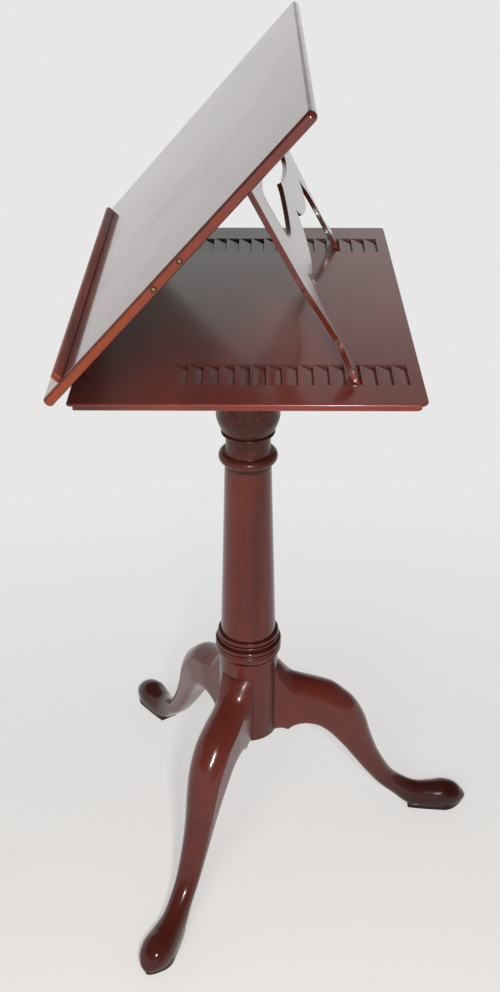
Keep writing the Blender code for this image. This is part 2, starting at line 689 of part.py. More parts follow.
def make_slope_hinges(root, slope_frame, axis):
    """Hinge the slope to the bed's left edge with two brass butts."""
    sizes = (SLOPE_HINGE_LENGTH, SLOPE_HINGE_LEAF, SLOPE_HINGE_PLATE, SLOPE_BARREL, SLOPE_PIN,
             SLOPE_BARREL - GAP)
    for row, side in (("front", -1), ("back", 1)):
        place = side * SLOPE_HINGE_SHARE * BED_LENGTH / 2
        bed_leaf = hinge_leaf("bed_leaf_" + row, root, sizes, outer=True)
        bed_leaf.location = (axis.x, place, axis.z)
        slope_leaf = hinge_leaf("slope_leaf_" + row, slope_frame, sizes, outer=False)
        slope_leaf.location = (0, place, 0)
        slope_leaf.data.transform(Matrix.Scale(-1, 4, (0, 0, 1)))
        slope_leaf.data.flip_normals()
        pin = rod("hinge_pin_" + row, PARTS, SLOPE_PIN, SLOPE_HINGE_LENGTH,
                  (axis.x, place, axis.z), root, HINGE_SIDES)
        finish(pin, BRASS, 0.3, 1.0)


def make_slope(slope_frame):
    """Make the book board, its ledge and the two pins in its front edge."""
    profile = []
    for i in range(9):
        angle = (i / 8 - 0.5) * pi
        profile.append((BULLNOSE_REACH * (1 - cos(angle)), SLOPE_THICKNESS * (1 + sin(angle)) / 2))
    radii = (SLOPE_CORNER, SLOPE_CORNER, SLOPE_LOW_CORNER, SLOPE_LOW_CORNER)
    board = moulded_board("slope_board", SLOPE_DEPTH, SLOPE_LENGTH, radii, profile, slope_frame)
    board.location = (SLOPE_DEPTH / 2 - SLOPE_BELOW_AXIS, 0, SLOPE_BARREL)
    finish(board, MAHOGANY, 0.18)
    length = SLOPE_LENGTH - LEDGE_FRONT_MARGIN - LEDGE_BACK_MARGIN
    ledge = box("book_ledge", PARTS, (LEDGE_THICKNESS, length, LEDGE_HEIGHT), (
        LEDGE_SETBACK + LEDGE_THICKNESS / 2 - SLOPE_BELOW_AXIS,
        (LEDGE_FRONT_MARGIN - LEDGE_BACK_MARGIN) / 2,
        SLOPE_BARREL + SLOPE_THICKNESS + GAP + LEDGE_HEIGHT / 2), slope_frame)
    round_top(ledge, LEDGE_ROUND)
    finish(ledge, DARK_MAHOGANY, 0.25)
    edge_y = -SLOPE_LENGTH / 2
    mid_z = SLOPE_BARREL + SLOPE_THICKNESS / 2
    for number, share in enumerate(EDGE_PIN_SHARES, 1):
        for group, spare, prefix in ((PARTS, 0, ""), (CUTTERS, GAP, "hole_")):
            name = "%sedge_pin_%d" % (prefix, number)
            length = EDGE_PIN_LENGTH + 2 * spare
            pin = rod(name, group, EDGE_PIN_RADIUS + spare, length,
                      (share * SLOPE_DEPTH - SLOPE_BELOW_AXIS, edge_y + EDGE_PIN_LENGTH / 2, mid_z), slope_frame, HINGE_SIDES)
            if group is PARTS:
                finish(pin, BRASS, 0.25, 1.0)
            else:
                boolean(board, pin)


def round_top(piece, radius):
    """Round the two long upper edges of a box that lies along Y."""
    work = bmesh.new()
    work.from_mesh(piece.data)
    edges = [edge for edge in work.edges
             if abs(edge.verts[0].co.y - edge.verts[1].co.y) > radius and edge.verts[0].co.z > 0]
    bmesh.ops.bevel(work, geom=edges, offset=radius, segments=4, profile=0.5, affect="EDGES")
    work.to_mesh(piece.data)
    work.free()
    smooth(piece.data)


def mirrored(half):
    """Return a half outline and its mirror image, without repeating points on the plane."""
    return half + [(x, -y) for x, y in reversed(half) if y > 0]


def strut_outlines():
    """Return the strut's outer outline and the opening between its rails.

    x is the distance from the pivot towards the feet; heights in the tables run up
    from the feet.
    """
    def from_foot(height):
        return STRUT_LENGTH - height

    arch = [(from_foot(h * RAIL_PEAK), y * LEG_INNER) for y, h in RAIL_LOWER_SHARES]
    arch = [tuple(point) for point in spline_through(arch, 4)]
    sole = STRUT_LENGTH + FOOT_SPARE
    height, out = LEG_KINK_SHARES
    half = arch + [(from_foot(RAIL_PEAK * height), LEG_INNER + (FOOT_INNER - LEG_INNER) * out)]
    half += [(sole, FOOT_INNER), (sole, FOOT_OUTER)]
    width, start = STRUT_HALF_WIDTH, STRUT_HALF_WIDTH * STRUT_SIDE_SHARES[0][0]
    half += [(from_foot(FOOT_ROUND_HEIGHT * rise), FOOT_OUTER + (start - FOOT_OUTER) * out)
             for out, rise in FOOT_CURVE_SHARES]
    side = [(from_foot(h * STRUT_LENGTH), y * width) for y, h in STRUT_SIDE_SHARES[1:]]
    side[-1] = (HINGE_SETBACK, side[-1][1])
    half += [tuple(point) for point in spline_through(side, 3)]
    outer = mirrored(half)
    upper = [(from_foot(h * RAIL_PEAK), y * LEG_INNER) for y, h in RAIL_UPPER_SHARES]
    upper = [tuple(point) for point in spline_through(upper, 3)]
    top = HINGE_SETBACK + TOP_RAIL_DEPTH
    corner = []
    for i in range(4):
        angle = i / 3 * pi / 2
        corner.append((top + OPENING_ROUND * (1 - sin(angle)), LEG_INNER - OPENING_ROUND * (1 - cos(angle))))
    return outer, mirrored(upper + corner)


def make_strut(strut_frame):
    """Make the fretted strut, with its feet bevelled for the notches."""
    outer, opening = strut_outlines()
    strut = plate("strut", PARTS, [outer, opening], STRUT_THICKNESS, strut_frame)
    strut.location = (0, 0, -STRUT_THICKNESS / 2)
    size = STRUT_THICKNESS * 4
    wedge = box("foot_bevel", CUTTERS, (size, 2 * STRUT_HALF_WIDTH + OVERRUN, size),
                (STRUT_LENGTH + size / 2 * cos(pi / 4), 0, -size / 2 * sin(pi / 4)), strut_frame)
    wedge.rotation_euler = (0, pi / 4, 0)
    boolean(strut, wedge)
    finish(strut, MAHOGANY, 0.22)


def make_cleat(slope_frame):
    """Make the rail under the slope that carries the strut's hinges."""
    thickness = PIVOT_DROP - GAP
    length = 2 * (STRUT_HALF_WIDTH - CLEAT_MARGIN)
    cleat = box("strut_cleat", PARTS, (CLEAT_WIDTH, length, thickness), (
        PIVOT_UP_SLOPE + HINGE_SETBACK + CLEAT_WIDTH / 2, 0, SLOPE_BARREL - GAP - thickness / 2), slope_frame)
    bevel(cleat, ARRIS)
    finish(cleat, MAHOGANY, 0.35)


def make_strut_hinges(slope_frame, strut_frame):
    """Hinge the strut to its cleat with two small brass butts."""
    sizes = (STRUT_HINGE_LENGTH, STRUT_HINGE_LEAF, STRUT_HINGE_PLATE, STRUT_BARREL, STRUT_PIN,
             STRUT_HINGE_PLATE + GAP)
    pivot_z = SLOPE_BARREL - PIVOT_DROP
    for row, side in (("front", -1), ("back", 1)):
        place = side * STRUT_HINGE_SHARE * STRUT_HALF_WIDTH
        cleat_leaf = hinge_leaf("cleat_leaf_" + row, slope_frame, sizes, outer=True)
        cleat_leaf.location = (PIVOT_UP_SLOPE, place, pivot_z)
        strut_leaf = hinge_leaf("strut_leaf_" + row, strut_frame, sizes, outer=False)
        strut_leaf.location = (0, place, 0)
        strut_leaf.data.transform(Matrix.Scale(-1, 4, (0, 0, 1)))
        strut_leaf.data.flip_normals()
        pin = rod("strut_pin_" + row, PARTS, STRUT_PIN, STRUT_HINGE_LENGTH,
                  (0, place, 0), strut_frame, HINGE_SIDES)
        finish(pin, BRASS, 0.3, 1.0)


def stand_on_origin(root):
    """Move the root so that the model's box stands centred on the origin."""
    bpy.context.view_layer.update()
    graph = bpy.context.evaluated_depsgraph_get()
    corners = []
    for piece in PARTS.objects:
        if piece.type == "MESH":
            evaluated = piece.evaluated_get(graph)
            corners += [evaluated.matrix_world @ vertex.co for vertex in evaluated.data.vertices]
    low = [min(corner[i] for corner in corners) for i in range(3)]
    high = [max(corner[i] for corner in corners) for i in range(3)]
    root.location = (-(low[0] + high[0]) / 2, -(low[1] + high[1]) / 2, -low[2])


clear_scene()
PARTS = collection("reading_table")
CUTTERS = collection("reading_table_cutters")
ROOT = empty("table_root")
AXIS, SLOPE_ANGLE, STRUT_ANGLE = slope_geometry()
SLOPE_FRAME = empty("slope_axis", ROOT, AXIS, -SLOPE_ANGLE)
STRUT_FRAME = empty("strut_axis", SLOPE_FRAME, (PIVOT_UP_SLOPE, 0, SLOPE_BARREL - PIVOT_DROP),
                    SLOPE_ANGLE + STRUT_ANGLE)
BED = make_bed(ROOT)
make_underframe(ROOT, BED)
make_column(ROOT)
make_legs(ROOT)
make_spider(ROOT)
make_slope(SLOPE_FRAME)
make_slope_hinges(ROOT, SLOPE_FRAME, AXIS)
make_cleat(SLOPE_FRAME)
make_strut(STRUT_FRAME)
make_strut_hinges(SLOPE_FRAME, STRUT_FRAME)
stand_on_origin(ROOT)
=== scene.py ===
"""Looks of a mahogany reading table: finer shapes, polished wood and a plain pale studio.

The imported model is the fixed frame. Each sub-assembly is drawn in the space that it moves
with, the stand's, the slope's or the strut's, and its place is put into its mesh.
"""

import json
import logging
from dataclasses import dataclass
from enum import Enum
from math import asin, atan2, cos, degrees, hypot, pi, radians, sin
from typing import Callable, Sequence

import bmesh
import bpy
from mathutils import Matrix, Vector


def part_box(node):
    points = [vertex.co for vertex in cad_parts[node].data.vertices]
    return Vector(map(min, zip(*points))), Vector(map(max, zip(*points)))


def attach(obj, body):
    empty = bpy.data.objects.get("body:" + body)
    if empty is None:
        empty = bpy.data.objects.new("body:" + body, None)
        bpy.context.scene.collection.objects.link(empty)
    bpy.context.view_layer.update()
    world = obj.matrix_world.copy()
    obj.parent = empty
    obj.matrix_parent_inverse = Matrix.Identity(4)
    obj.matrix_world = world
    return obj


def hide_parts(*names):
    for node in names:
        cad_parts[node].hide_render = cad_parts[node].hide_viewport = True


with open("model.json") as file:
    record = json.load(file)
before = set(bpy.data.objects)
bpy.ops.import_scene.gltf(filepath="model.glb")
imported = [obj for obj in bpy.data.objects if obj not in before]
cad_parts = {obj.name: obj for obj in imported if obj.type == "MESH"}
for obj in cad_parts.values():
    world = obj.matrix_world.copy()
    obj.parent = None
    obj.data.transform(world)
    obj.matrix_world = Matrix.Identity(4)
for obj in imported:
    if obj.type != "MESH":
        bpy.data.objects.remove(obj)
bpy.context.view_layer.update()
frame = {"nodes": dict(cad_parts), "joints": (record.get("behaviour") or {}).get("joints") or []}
LOG = logging.getLogger("reading_table")
Point2 = tuple[float, float]
Colour = tuple[float, float, float]
Rule = Callable[[Vector, Vector, Vector], float]

SEAM = 0.0016
"""How far from a seam its mark ends, in metres."""
WELD = 2e-5
"""Points nearer than this are one, in metres."""
FLAT = 0.002
"""Edges flatter than this are dissolved, in radians."""
LEAST_RADIUS = 0.0003
"""Radius that a drawn-in corner keeps, in metres."""
GAP = 0.0003
"""Gap between pieces that touch, in metres."""


class Body(Enum):
    """The table's moving bodies."""

    STAND = "stand"
    SLOPE = "slope"
    STRUT = "strut"


class Slot(Enum):
    """The record's material slots."""

    MAHOGANY = "mahogany"
    DARK_MAHOGANY = "dark_mahogany"
    RAW_MAHOGANY = "raw_mahogany"
    BRASS = "brass"
    IRON = "iron"


class Mask(Enum):
    """Marks that the modelling leaves on a mesh for its finish to read."""

    WORN = "worn"
    # Painted shade in creases, joints, notches, along an arris and under the bed.
    HOLLOW = "hollow"


# Spaces


@dataclass(frozen=True)
class Spaces:
    """Where the table's three moving spaces lie at rest.

    Args:
        stand: Column's axis on the floor.
        slope: Slope's hinge axis, X up the slope, Z out of its face.
        strut: Strut's pivot, X towards its feet, Z out of its face.
        slope_angle: Slope's rise above the bed, in radians.
        strut_angle: Strut's fall below the horizontal, in radians.
    """

    stand: Matrix
    slope: Matrix
    strut: Matrix
    slope_angle: float
    strut_angle: float

    @classmethod
    def read(cls, strut_length: float, pivot_run: float, pivot_drop: float) -> "Spaces":
        """Works the spaces out from the frame's joints and boxes.

        Args:
            strut_length: Pivot to the feet's tips.
            pivot_run: Hinge axis to the pivot, along the slope.
            pivot_drop: Hinge axis to the pivot, square to the slope.

        Returns:
            The three spaces and both angles.
        """
        low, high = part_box("column")
        stand = Matrix.Translation(((low.x + high.x) / 2, (low.y + high.y) / 2, 0))
        places = {joint["name"]: Vector(joint["pos_m"]) for joint in frame["joints"]}
        axis, pivot = places["slope_tilt"], places["strut_swing"]
        reach = pivot - axis
        slope_angle = atan2(reach.z, reach.x) + atan2(pivot_drop, pivot_run)
        strut_angle = asin((pivot.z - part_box("strut")[0].z) / strut_length)
        return cls(
            stand,
            Matrix.Translation(axis) @ Matrix.Rotation(-slope_angle, 4, "Y"),
            Matrix.Translation(pivot) @ Matrix.Rotation(strut_angle, 4, "Y"),
            slope_angle,
            strut_angle,
        )


# Modelling


def curve_through(knots: Sequence[Sequence[float]], steps: int) -> list[Vector]:
    """Samples a smooth curve through knots.

    Args:
        knots: Points of any dimension.
        steps: Steps between neighbouring knots.

    Returns:
        The samples, both ends included.
    """
    points = [Vector(knot) for knot in knots]
    ends = [2 * points[0] - points[1], *points, 2 * points[-1] - points[-2]]
    samples = []
    for a, b, c, d in zip(ends, ends[1:], ends[2:], ends[3:]):
        for i in range(steps):
            t = i / steps
            samples.append((2 * b + (c - a) * t + (2 * a - 5 * b + 4 * c - d) * t**2
                            + (3 * b - a - 3 * c + d) * t**3) / 2)
    return samples + [points[-1]]


def flat_curve(knots: Sequence[Point2], steps: int) -> list[Point2]:
    """Samples a smooth flat curve through knots, both ends included."""
    return [tuple(point) for point in curve_through(knots, steps)]


def linked(name: str, data: bpy.types.ID) -> bpy.types.Object:
    """Makes an object and links it to the scene.

    Args:
        name: Its name.
        data: The mesh, curve, lamp or camera that it shows.

    Returns:
        The object.
    """
    made = bpy.data.objects.new(name, data)
    bpy.context.scene.collection.objects.link(made)
    return made


def finished(name: str, work: bmesh.types.BMesh) -> bpy.types.Mesh:
    """Turns a work mesh into a named mesh.

    Args:
        name: The mesh's name.
        work: The work mesh, which is freed.

    Returns:
        The mesh.
    """
    mesh = bpy.data.meshes.new(name)
    work.to_mesh(mesh)
    work.free()
    return mesh


def loft(name: str, rings: Sequence[Sequence[Sequence[float]]]) -> bpy.types.Mesh:
    """Skins closed rings of as many points each, and closes both ends.

    Args:
        name: The mesh's name.
        rings: Rings of points, in order.

    Returns:
        The closed mesh.
    """
    work = bmesh.new()
    rows = [[work.verts.new(point) for point in ring] for ring in rings]
    for near, far in zip(rows, rows[1:]):
        for i, vert in enumerate(near):
            j = (i + 1) % len(near)
            work.faces.new((vert, near[j], far[j], far[i]))
    work.faces.new(list(reversed(rows[0])))
    work.faces.new(rows[-1])
    bmesh.ops.recalc_face_normals(work, faces=work.faces)
    return finished(name, work)


def lathe(name: str, profile: Sequence[Point2], sides: int) -> bpy.types.Mesh:
    """Turns a profile about Z.

    Args:
        name: The mesh's name.
        profile: (radius, height) from the foot up, both ends on the axis.
        sides: Faces round the axis.

    Returns:
        The turned mesh.
    """
    work = bmesh.new()
    low = work.verts.new((0, 0, profile[0][1]))
    high = work.verts.new((0, 0, profile[-1][1]))
    rows = []
    for radius, height in profile[1:-1]:
        turn = [2 * pi * i / sides for i in range(sides)]
        rows.append([work.verts.new((radius * cos(a), radius * sin(a), height)) for a in turn])
    for i in range(sides):
        j = (i + 1) % sides
        work.faces.new((low, rows[0][j], rows[0][i]))
        work.faces.new((high, rows[-1][i], rows[-1][j]))
        for near, far in zip(rows, rows[1:]):
            work.faces.new((near[i], near[j], far[j], far[i]))
    return finished(name, work)


def board_from_outlines(name: str, outlines: Sequence[Sequence[Point2]], thickness: float) -> bpy.types.Mesh:
    """Cuts a flat board, holes included, lying about z = 0.

    Args:
        name: The mesh's name.
        outlines: The outer outline and those of the openings.
        thickness: The board's thickness.

    Returns:
        The board's mesh.
    """
    flat = bpy.data.curves.new(name, "CURVE")
    flat.dimensions, flat.fill_mode, flat.extrude = "2D", "BOTH", thickness / 2
    for outline in outlines:
        spline = flat.splines.new("POLY")
        spline.points.add(len(outline) - 1)
        for knot, (x, y) in zip(spline.points, outline):
            knot.co = (x, y, 0, 1)
        spline.use_cyclic_u = True
    drawn = linked(name, flat)
    mesh = bpy.data.meshes.new_from_object(drawn)
    bpy.data.objects.remove(drawn)
    work = bmesh.new()
    work.from_mesh(mesh)
    bmesh.ops.remove_doubles(work, verts=work.verts, dist=WELD)
    bmesh.ops.dissolve_limit(work, angle_limit=FLAT, verts=work.verts, edges=work.edges)
    bmesh.ops.recalc_face_normals(work, faces=work.faces)
    work.to_mesh(mesh)
    work.free()
    return mesh


def rounded_rectangle(half_x: float, half_y: float, radii: Sequence[float], inset: float,
                      height: float, segments: int = 14) -> list[Vector]:
    """Draws a rectangle with rounded corners, drawn in by an inset, at a height.

    Args:
        half_x: Half its size along X.
        half_y: Half its size along Y.
        radii: Corner radii, from (+X, -Y) round to (-X, -Y).
        inset: How far it is drawn in.
        height: Its Z.
        segments: Steps round each corner.

    Returns:
        The ring's points.
    """
    ring = []
    for turn, ((side_x, side_y), corner) in enumerate(zip(((1, -1), (1, 1), (-1, 1), (-1, -1)), radii)):
        radius = max(corner - inset, LEAST_RADIUS)
        centre = Vector((side_x * (half_x - inset - radius), side_y * (half_y - inset - radius), height))
        for i in range(segments + 1):
            angle = (turn - 1 + i / segments) * pi / 2
            ring.append(centre + Vector((radius * cos(angle), radius * sin(angle), 0)))
    return ring


def mark(mesh: bpy.types.Mesh, mask: Mask, rule: Rule) -> None:
    """Stores a mark on every face's corners, so that it can end sharply at an arris.

    Args:
        mesh: The mesh.
        mask: Which mark.
        rule: Gives the mark, from 0 to 1, from a corner's place, its face's middle and its normal.
    """
    layer = mesh.attributes.new(mask.value, "FLOAT", "CORNER")
    values = [0.0] * len(mesh.loops)
    for face in mesh.polygons:
        for index in face.loop_indices:
            place = mesh.vertices[mesh.loops[index].vertex_index].co
            values[index] = min(max(rule(place, face.center, face.normal), 0.0), 1.0)
    layer.data.foreach_set("value", values)


@dataclass
class Solid:
    """A mesh under work: it is cut and softened before it becomes a piece.

    Args:
        name: The future piece's name.
        mesh: Its mesh.
    """

    name: str
    mesh: bpy.types.Mesh

    def __post_init__(self) -> None:
        """Makes the object that carries the mesh while it is worked."""
        self.object = linked(self.name, self.mesh)

    def settle(self) -> "Solid":
        """Turns the modifiers' result into the mesh.

        Returns:
            This solid.
        """
        bpy.context.view_layer.update()
        graph = bpy.context.evaluated_depsgraph_get()
        mesh = bpy.data.meshes.new_from_object(self.object.evaluated_get(graph))
        self.object.modifiers.clear()
        self.object.data = mesh
        self.mesh = mesh
        return self

    def combine(self, other: "Solid", operation: str) -> "Solid":
        """Cuts or joins another solid, which is used up.

        Args:
            other: The cutter, or the solid that is joined.
            operation: DIFFERENCE or UNION.

        Returns:
            This solid.
        """
        step = self.object.modifiers.new("combine", "BOOLEAN")
        step.operation, step.solver, step.object = operation, "EXACT", other.object
        self.settle()
        bpy.data.objects.remove(other.object)
        return self

    def soften(self, width: float, segments: int = 2, angle: float = 0.6) -> "Solid":
        """Rounds the arrises a little.

        Args:
            width: Width of the rounding.
            segments: Its segments.
            angle: Least angle of an edge that is rounded, in radians.

        Returns:
            This solid.
        """
        step = self.object.modifiers.new("arris", "BEVEL")
        step.width, step.segments, step.limit_method, step.angle_limit = width, segments, "ANGLE", angle
        step.harden_normals = False
        return self.settle()

    def smooth(self, angle: float = 0.5) -> "Solid":
        """Shades smooth, flats kept flat.

        Args:
            angle: Greatest angle that is shaded smooth, in radians.

        Returns:
            This solid.
        """
        self.mesh.shade_smooth()
        self.mesh.set_sharp_from_angle(angle=angle)
        step = self.object.modifiers.new("flats", "WEIGHTED_NORMAL")
        step.keep_sharp = True
        return self.settle()


# Shader groups


class Wiring:
    """Adds and links nodes in one node tree."""

    def __init__(self, tree: bpy.types.NodeTree) -> None:
        """Keeps the tree that is wired."""
        self.tree = tree

    def node(self, kind: str, inputs: dict | None = None, **settings: object) -> bpy.types.Node:
        """Adds a node.

        Args:
            kind: The node's type.
            inputs: Values or sockets for its inputs.
            **settings: Its own properties.

        Returns:
            The node.
        """
        made = self.tree.nodes.new(kind)
        for key, value in settings.items():
            setattr(made, key, value)
        self.fill(made, inputs or {})
        return made

    def fill(self, node: bpy.types.Node, inputs: dict) -> None:
        """Links a node's inputs to sockets, or sets them to values.

        Args:
            node: The node.
            inputs: Values or sockets by the inputs' names or numbers.
        """
        for key, value in inputs.items():
            if isinstance(value, bpy.types.NodeSocket):
                self.tree.links.new(value, node.inputs[key])
            else:
                node.inputs[key].default_value = value

    def place(self) -> bpy.types.NodeSocket:
        """Returns the shaded place in the object's own space."""
        return self.node("ShaderNodeTexCoord").outputs["Object"]

    def math(self, operation: str, *values: object, clamp: bool = False) -> bpy.types.NodeSocket:
        """Adds a Math node and returns its output."""
        return self.node("ShaderNodeMath", dict(enumerate(values)), operation=operation,
                         use_clamp=clamp).outputs[0]

    def product(self, *values: object) -> bpy.types.NodeSocket:
        """Multiplies two values and returns the result."""
        return self.math("MULTIPLY", *values)

    def measure(self, operation: str, *vectors: object) -> bpy.types.NodeSocket:
        """Adds a Vector Math node and returns its value."""
        return self.node("ShaderNodeVectorMath", dict(enumerate(vectors)), operation=operation).outputs["Value"]

    def point(self, x: object = 0.0, y: object = 0.0, z: object = 0.0) -> bpy.types.NodeSocket:
        """Joins three values to a vector and returns it."""
        return self.node("ShaderNodeCombineXYZ", {0: x, 1: y, 2: z}).outputs[0]

    def noise(self, place: object, scale: object, detail: float, roughness: float = 0.5,
              distortion: object = 0.0) -> bpy.types.NodeSocket:
        """Samples noise at a place and returns it."""
        return self.node("ShaderNodeTexNoise", {"Vector": place, "Scale": scale, "Detail": detail,
                                                "Roughness": roughness, "Distortion": distortion}).outputs[0]

    def span(self, value: object, low: float, high: float, out: Point2 = (0.0, 1.0)) -> bpy.types.NodeSocket:
        """Maps a value smoothly, and clamps it.

        Args:
            value: The value.
            low: What becomes the first of out.
            high: What becomes the second.
            out: Both ends of the result.

        Returns:
            The result.
        """
        return self.node("ShaderNodeMapRange", {"Value": value, "From Min": low, "From Max": high,
                                                "To Min": out[0], "To Max": out[1]},
                         interpolation_type="SMOOTHSTEP").outputs[0]

    def blend(self, amount: object, under: object, over: object) -> bpy.types.NodeSocket:
        """Mixes two colours and returns the result."""
        under, over = ((*colour, 1.0) if isinstance(colour, tuple) else colour for colour in (under, over))
        return self.node("ShaderNodeMix", {0: amount, 6: under, 7: over}, data_type="RGBA").outputs[2]


def shader_group(name: str, inputs: dict[str, object], outputs: Sequence[str]) -> tuple:
    """Starts a shader node group.

    Args:
        name: The group's name.
        inputs: Input names with their defaults; a tuple makes a vector.
        outputs: Names of its values.

    Returns:
        The tree, its wiring and its inputs' sockets.
    """
    tree = bpy.data.node_groups.new(name, "ShaderNodeTree")
    for key, value in inputs.items():
        kind = "NodeSocketVector" if isinstance(value, tuple) else "NodeSocketFloat"
        tree.interface.new_socket(key, in_out="INPUT", socket_type=kind).default_value = value
    for key in outputs:
        tree.interface.new_socket(key, in_out="OUTPUT", socket_type="NodeSocketFloat")
    wires = Wiring(tree)
    return tree, wires, wires.node("NodeGroupInput").outputs


def start_material(name: str) -> tuple:
    """Starts a material.

    Args:
        name: Its name.

    Returns:
        The material, its wiring and its Principled shader.
    """
    made = bpy.data.materials.new(name)
    made.use_nodes = True
    return made, Wiring(made.node_tree), made.node_tree.nodes["Principled BSDF"]


def grain_group() -> bpy.types.NodeTree:
    """Builds the group for mahogany's figure, with the grain along its local X.

    Returns:
        A group from a place to figure, ribbon, pores and height.
    """
    tree, w, given = shader_group("mahogany_grain", {"Place": (0.0, 0.0, 0.0), "Wander": 1.0},
                                  ("Figure", "Ribbon", "Pores", "Height"))

    def noise(stretch: Colour, detail: float, distortion: object = 0.0) -> bpy.types.NodeSocket:
        """Samples noise at a stretched place."""
        at = w.node("ShaderNodeVectorMath", {0: given["Place"], 1: stretch}, operation="MULTIPLY").outputs[0]
        return w.noise(at, 1.0, detail, 0.55, distortion)

    drift = noise((2.5, 7.0, 7.0), 2.0)
    broad = noise((4.0, 38.0, 38.0), 5.0, given["Wander"])
    fine = noise((16.0, 260.0, 260.0), 4.0)
    pores = w.span(noise((70.0, 1500.0, 1500.0), 1.0), 0.60, 0.72)
    w.node("NodeGroupOutput", {
        "Figure": w.span(w.math("ADD", w.product(broad, 0.62), w.product(fine, 0.38)), 0.34, 0.66),
        "Ribbon": w.span(drift, 0.36, 0.66),
        "Pores": pores,
        "Height": w.math("SUBTRACT", w.product(fine, 0.5), w.product(pores, 0.5)),
    })
    return tree


def wear_group() -> bpy.types.NodeTree:
    """Builds the group that breaks a smooth mark up into handling wear.

    Returns:
        A group from a place and a mark to wear and scuffs.
    """
    tree, w, given = shader_group(
        "handling_wear", {"Place": (0.0, 0.0, 0.0), "Mark": 0.0, "Break up": 0.5, "Grain size": 60.0},
        ("Wear", "Scuff"))
    coarse = w.noise(given["Place"], given["Grain size"], 6.0, 0.62)
    swing = w.product(w.math("SUBTRACT", coarse, 0.5), given["Break up"])
    rub = w.noise(given["Place"], 9.0, 3.0, 0.6)
    w.node("NodeGroupOutput", {"Wear": w.span(w.math("ADD", given["Mark"], swing), 0.30, 0.80),
                               "Scuff": w.span(rub, 0.42, 0.70)})
    return tree


def painted_shade_group() -> bpy.types.NodeTree:
    """Builds the group for painted shade in hollows, mottled in spots.

    Returns:
        A group from a place and a mark to painted shade.
    """
    tree, w, given = shader_group("painted_shade", {"Place": (0.0, 0.0, 0.0), "Mark": 0.0}, ("Shade",))
    spots = w.span(w.noise(given["Place"], 140.0, 4.0), 0.25, 0.6, (0.55, 1.0))
    w.node("NodeGroupOutput", {"Shade": w.math("MULTIPLY", given["Mark"], spots, clamp=True)})
    return tree


@dataclass(frozen=True)
class Groups:
    """The shader groups that the finishes share.

    Args:
        grain: Mahogany's figure.
        wear: Handling wear.
        shade_tree: Painted shade in hollows.
    """

    grain: bpy.types.NodeTree
    wear: bpy.types.NodeTree
    shade_tree: bpy.types.NodeTree

    @classmethod
    def build(cls) -> "Groups":
        """Builds each group once."""
        return cls(grain_group(), wear_group(), painted_shade_group())


# Finishes

RIBBON_SHARE, PORE_SHARE, WORN_FIGURE_SHARE, SHADE_AND_STAIN_SHARE, POLISH_LOSS = 0.55, 0.40, 0.45, 0.85, 0.85
# How much the ribbon, the pores, the figure of worn wood, and the painted shade and pin stains show, and how
# much polish wear and painted shade take.
"""How much the ribbon, the pores, the figure of worn wood and old wax show, and how much polish wear takes."""
STAIN_RING = (0.0020, 0.0040)
"""Where the dark ring round a pin starts to fade and ends, in metres from its middle."""


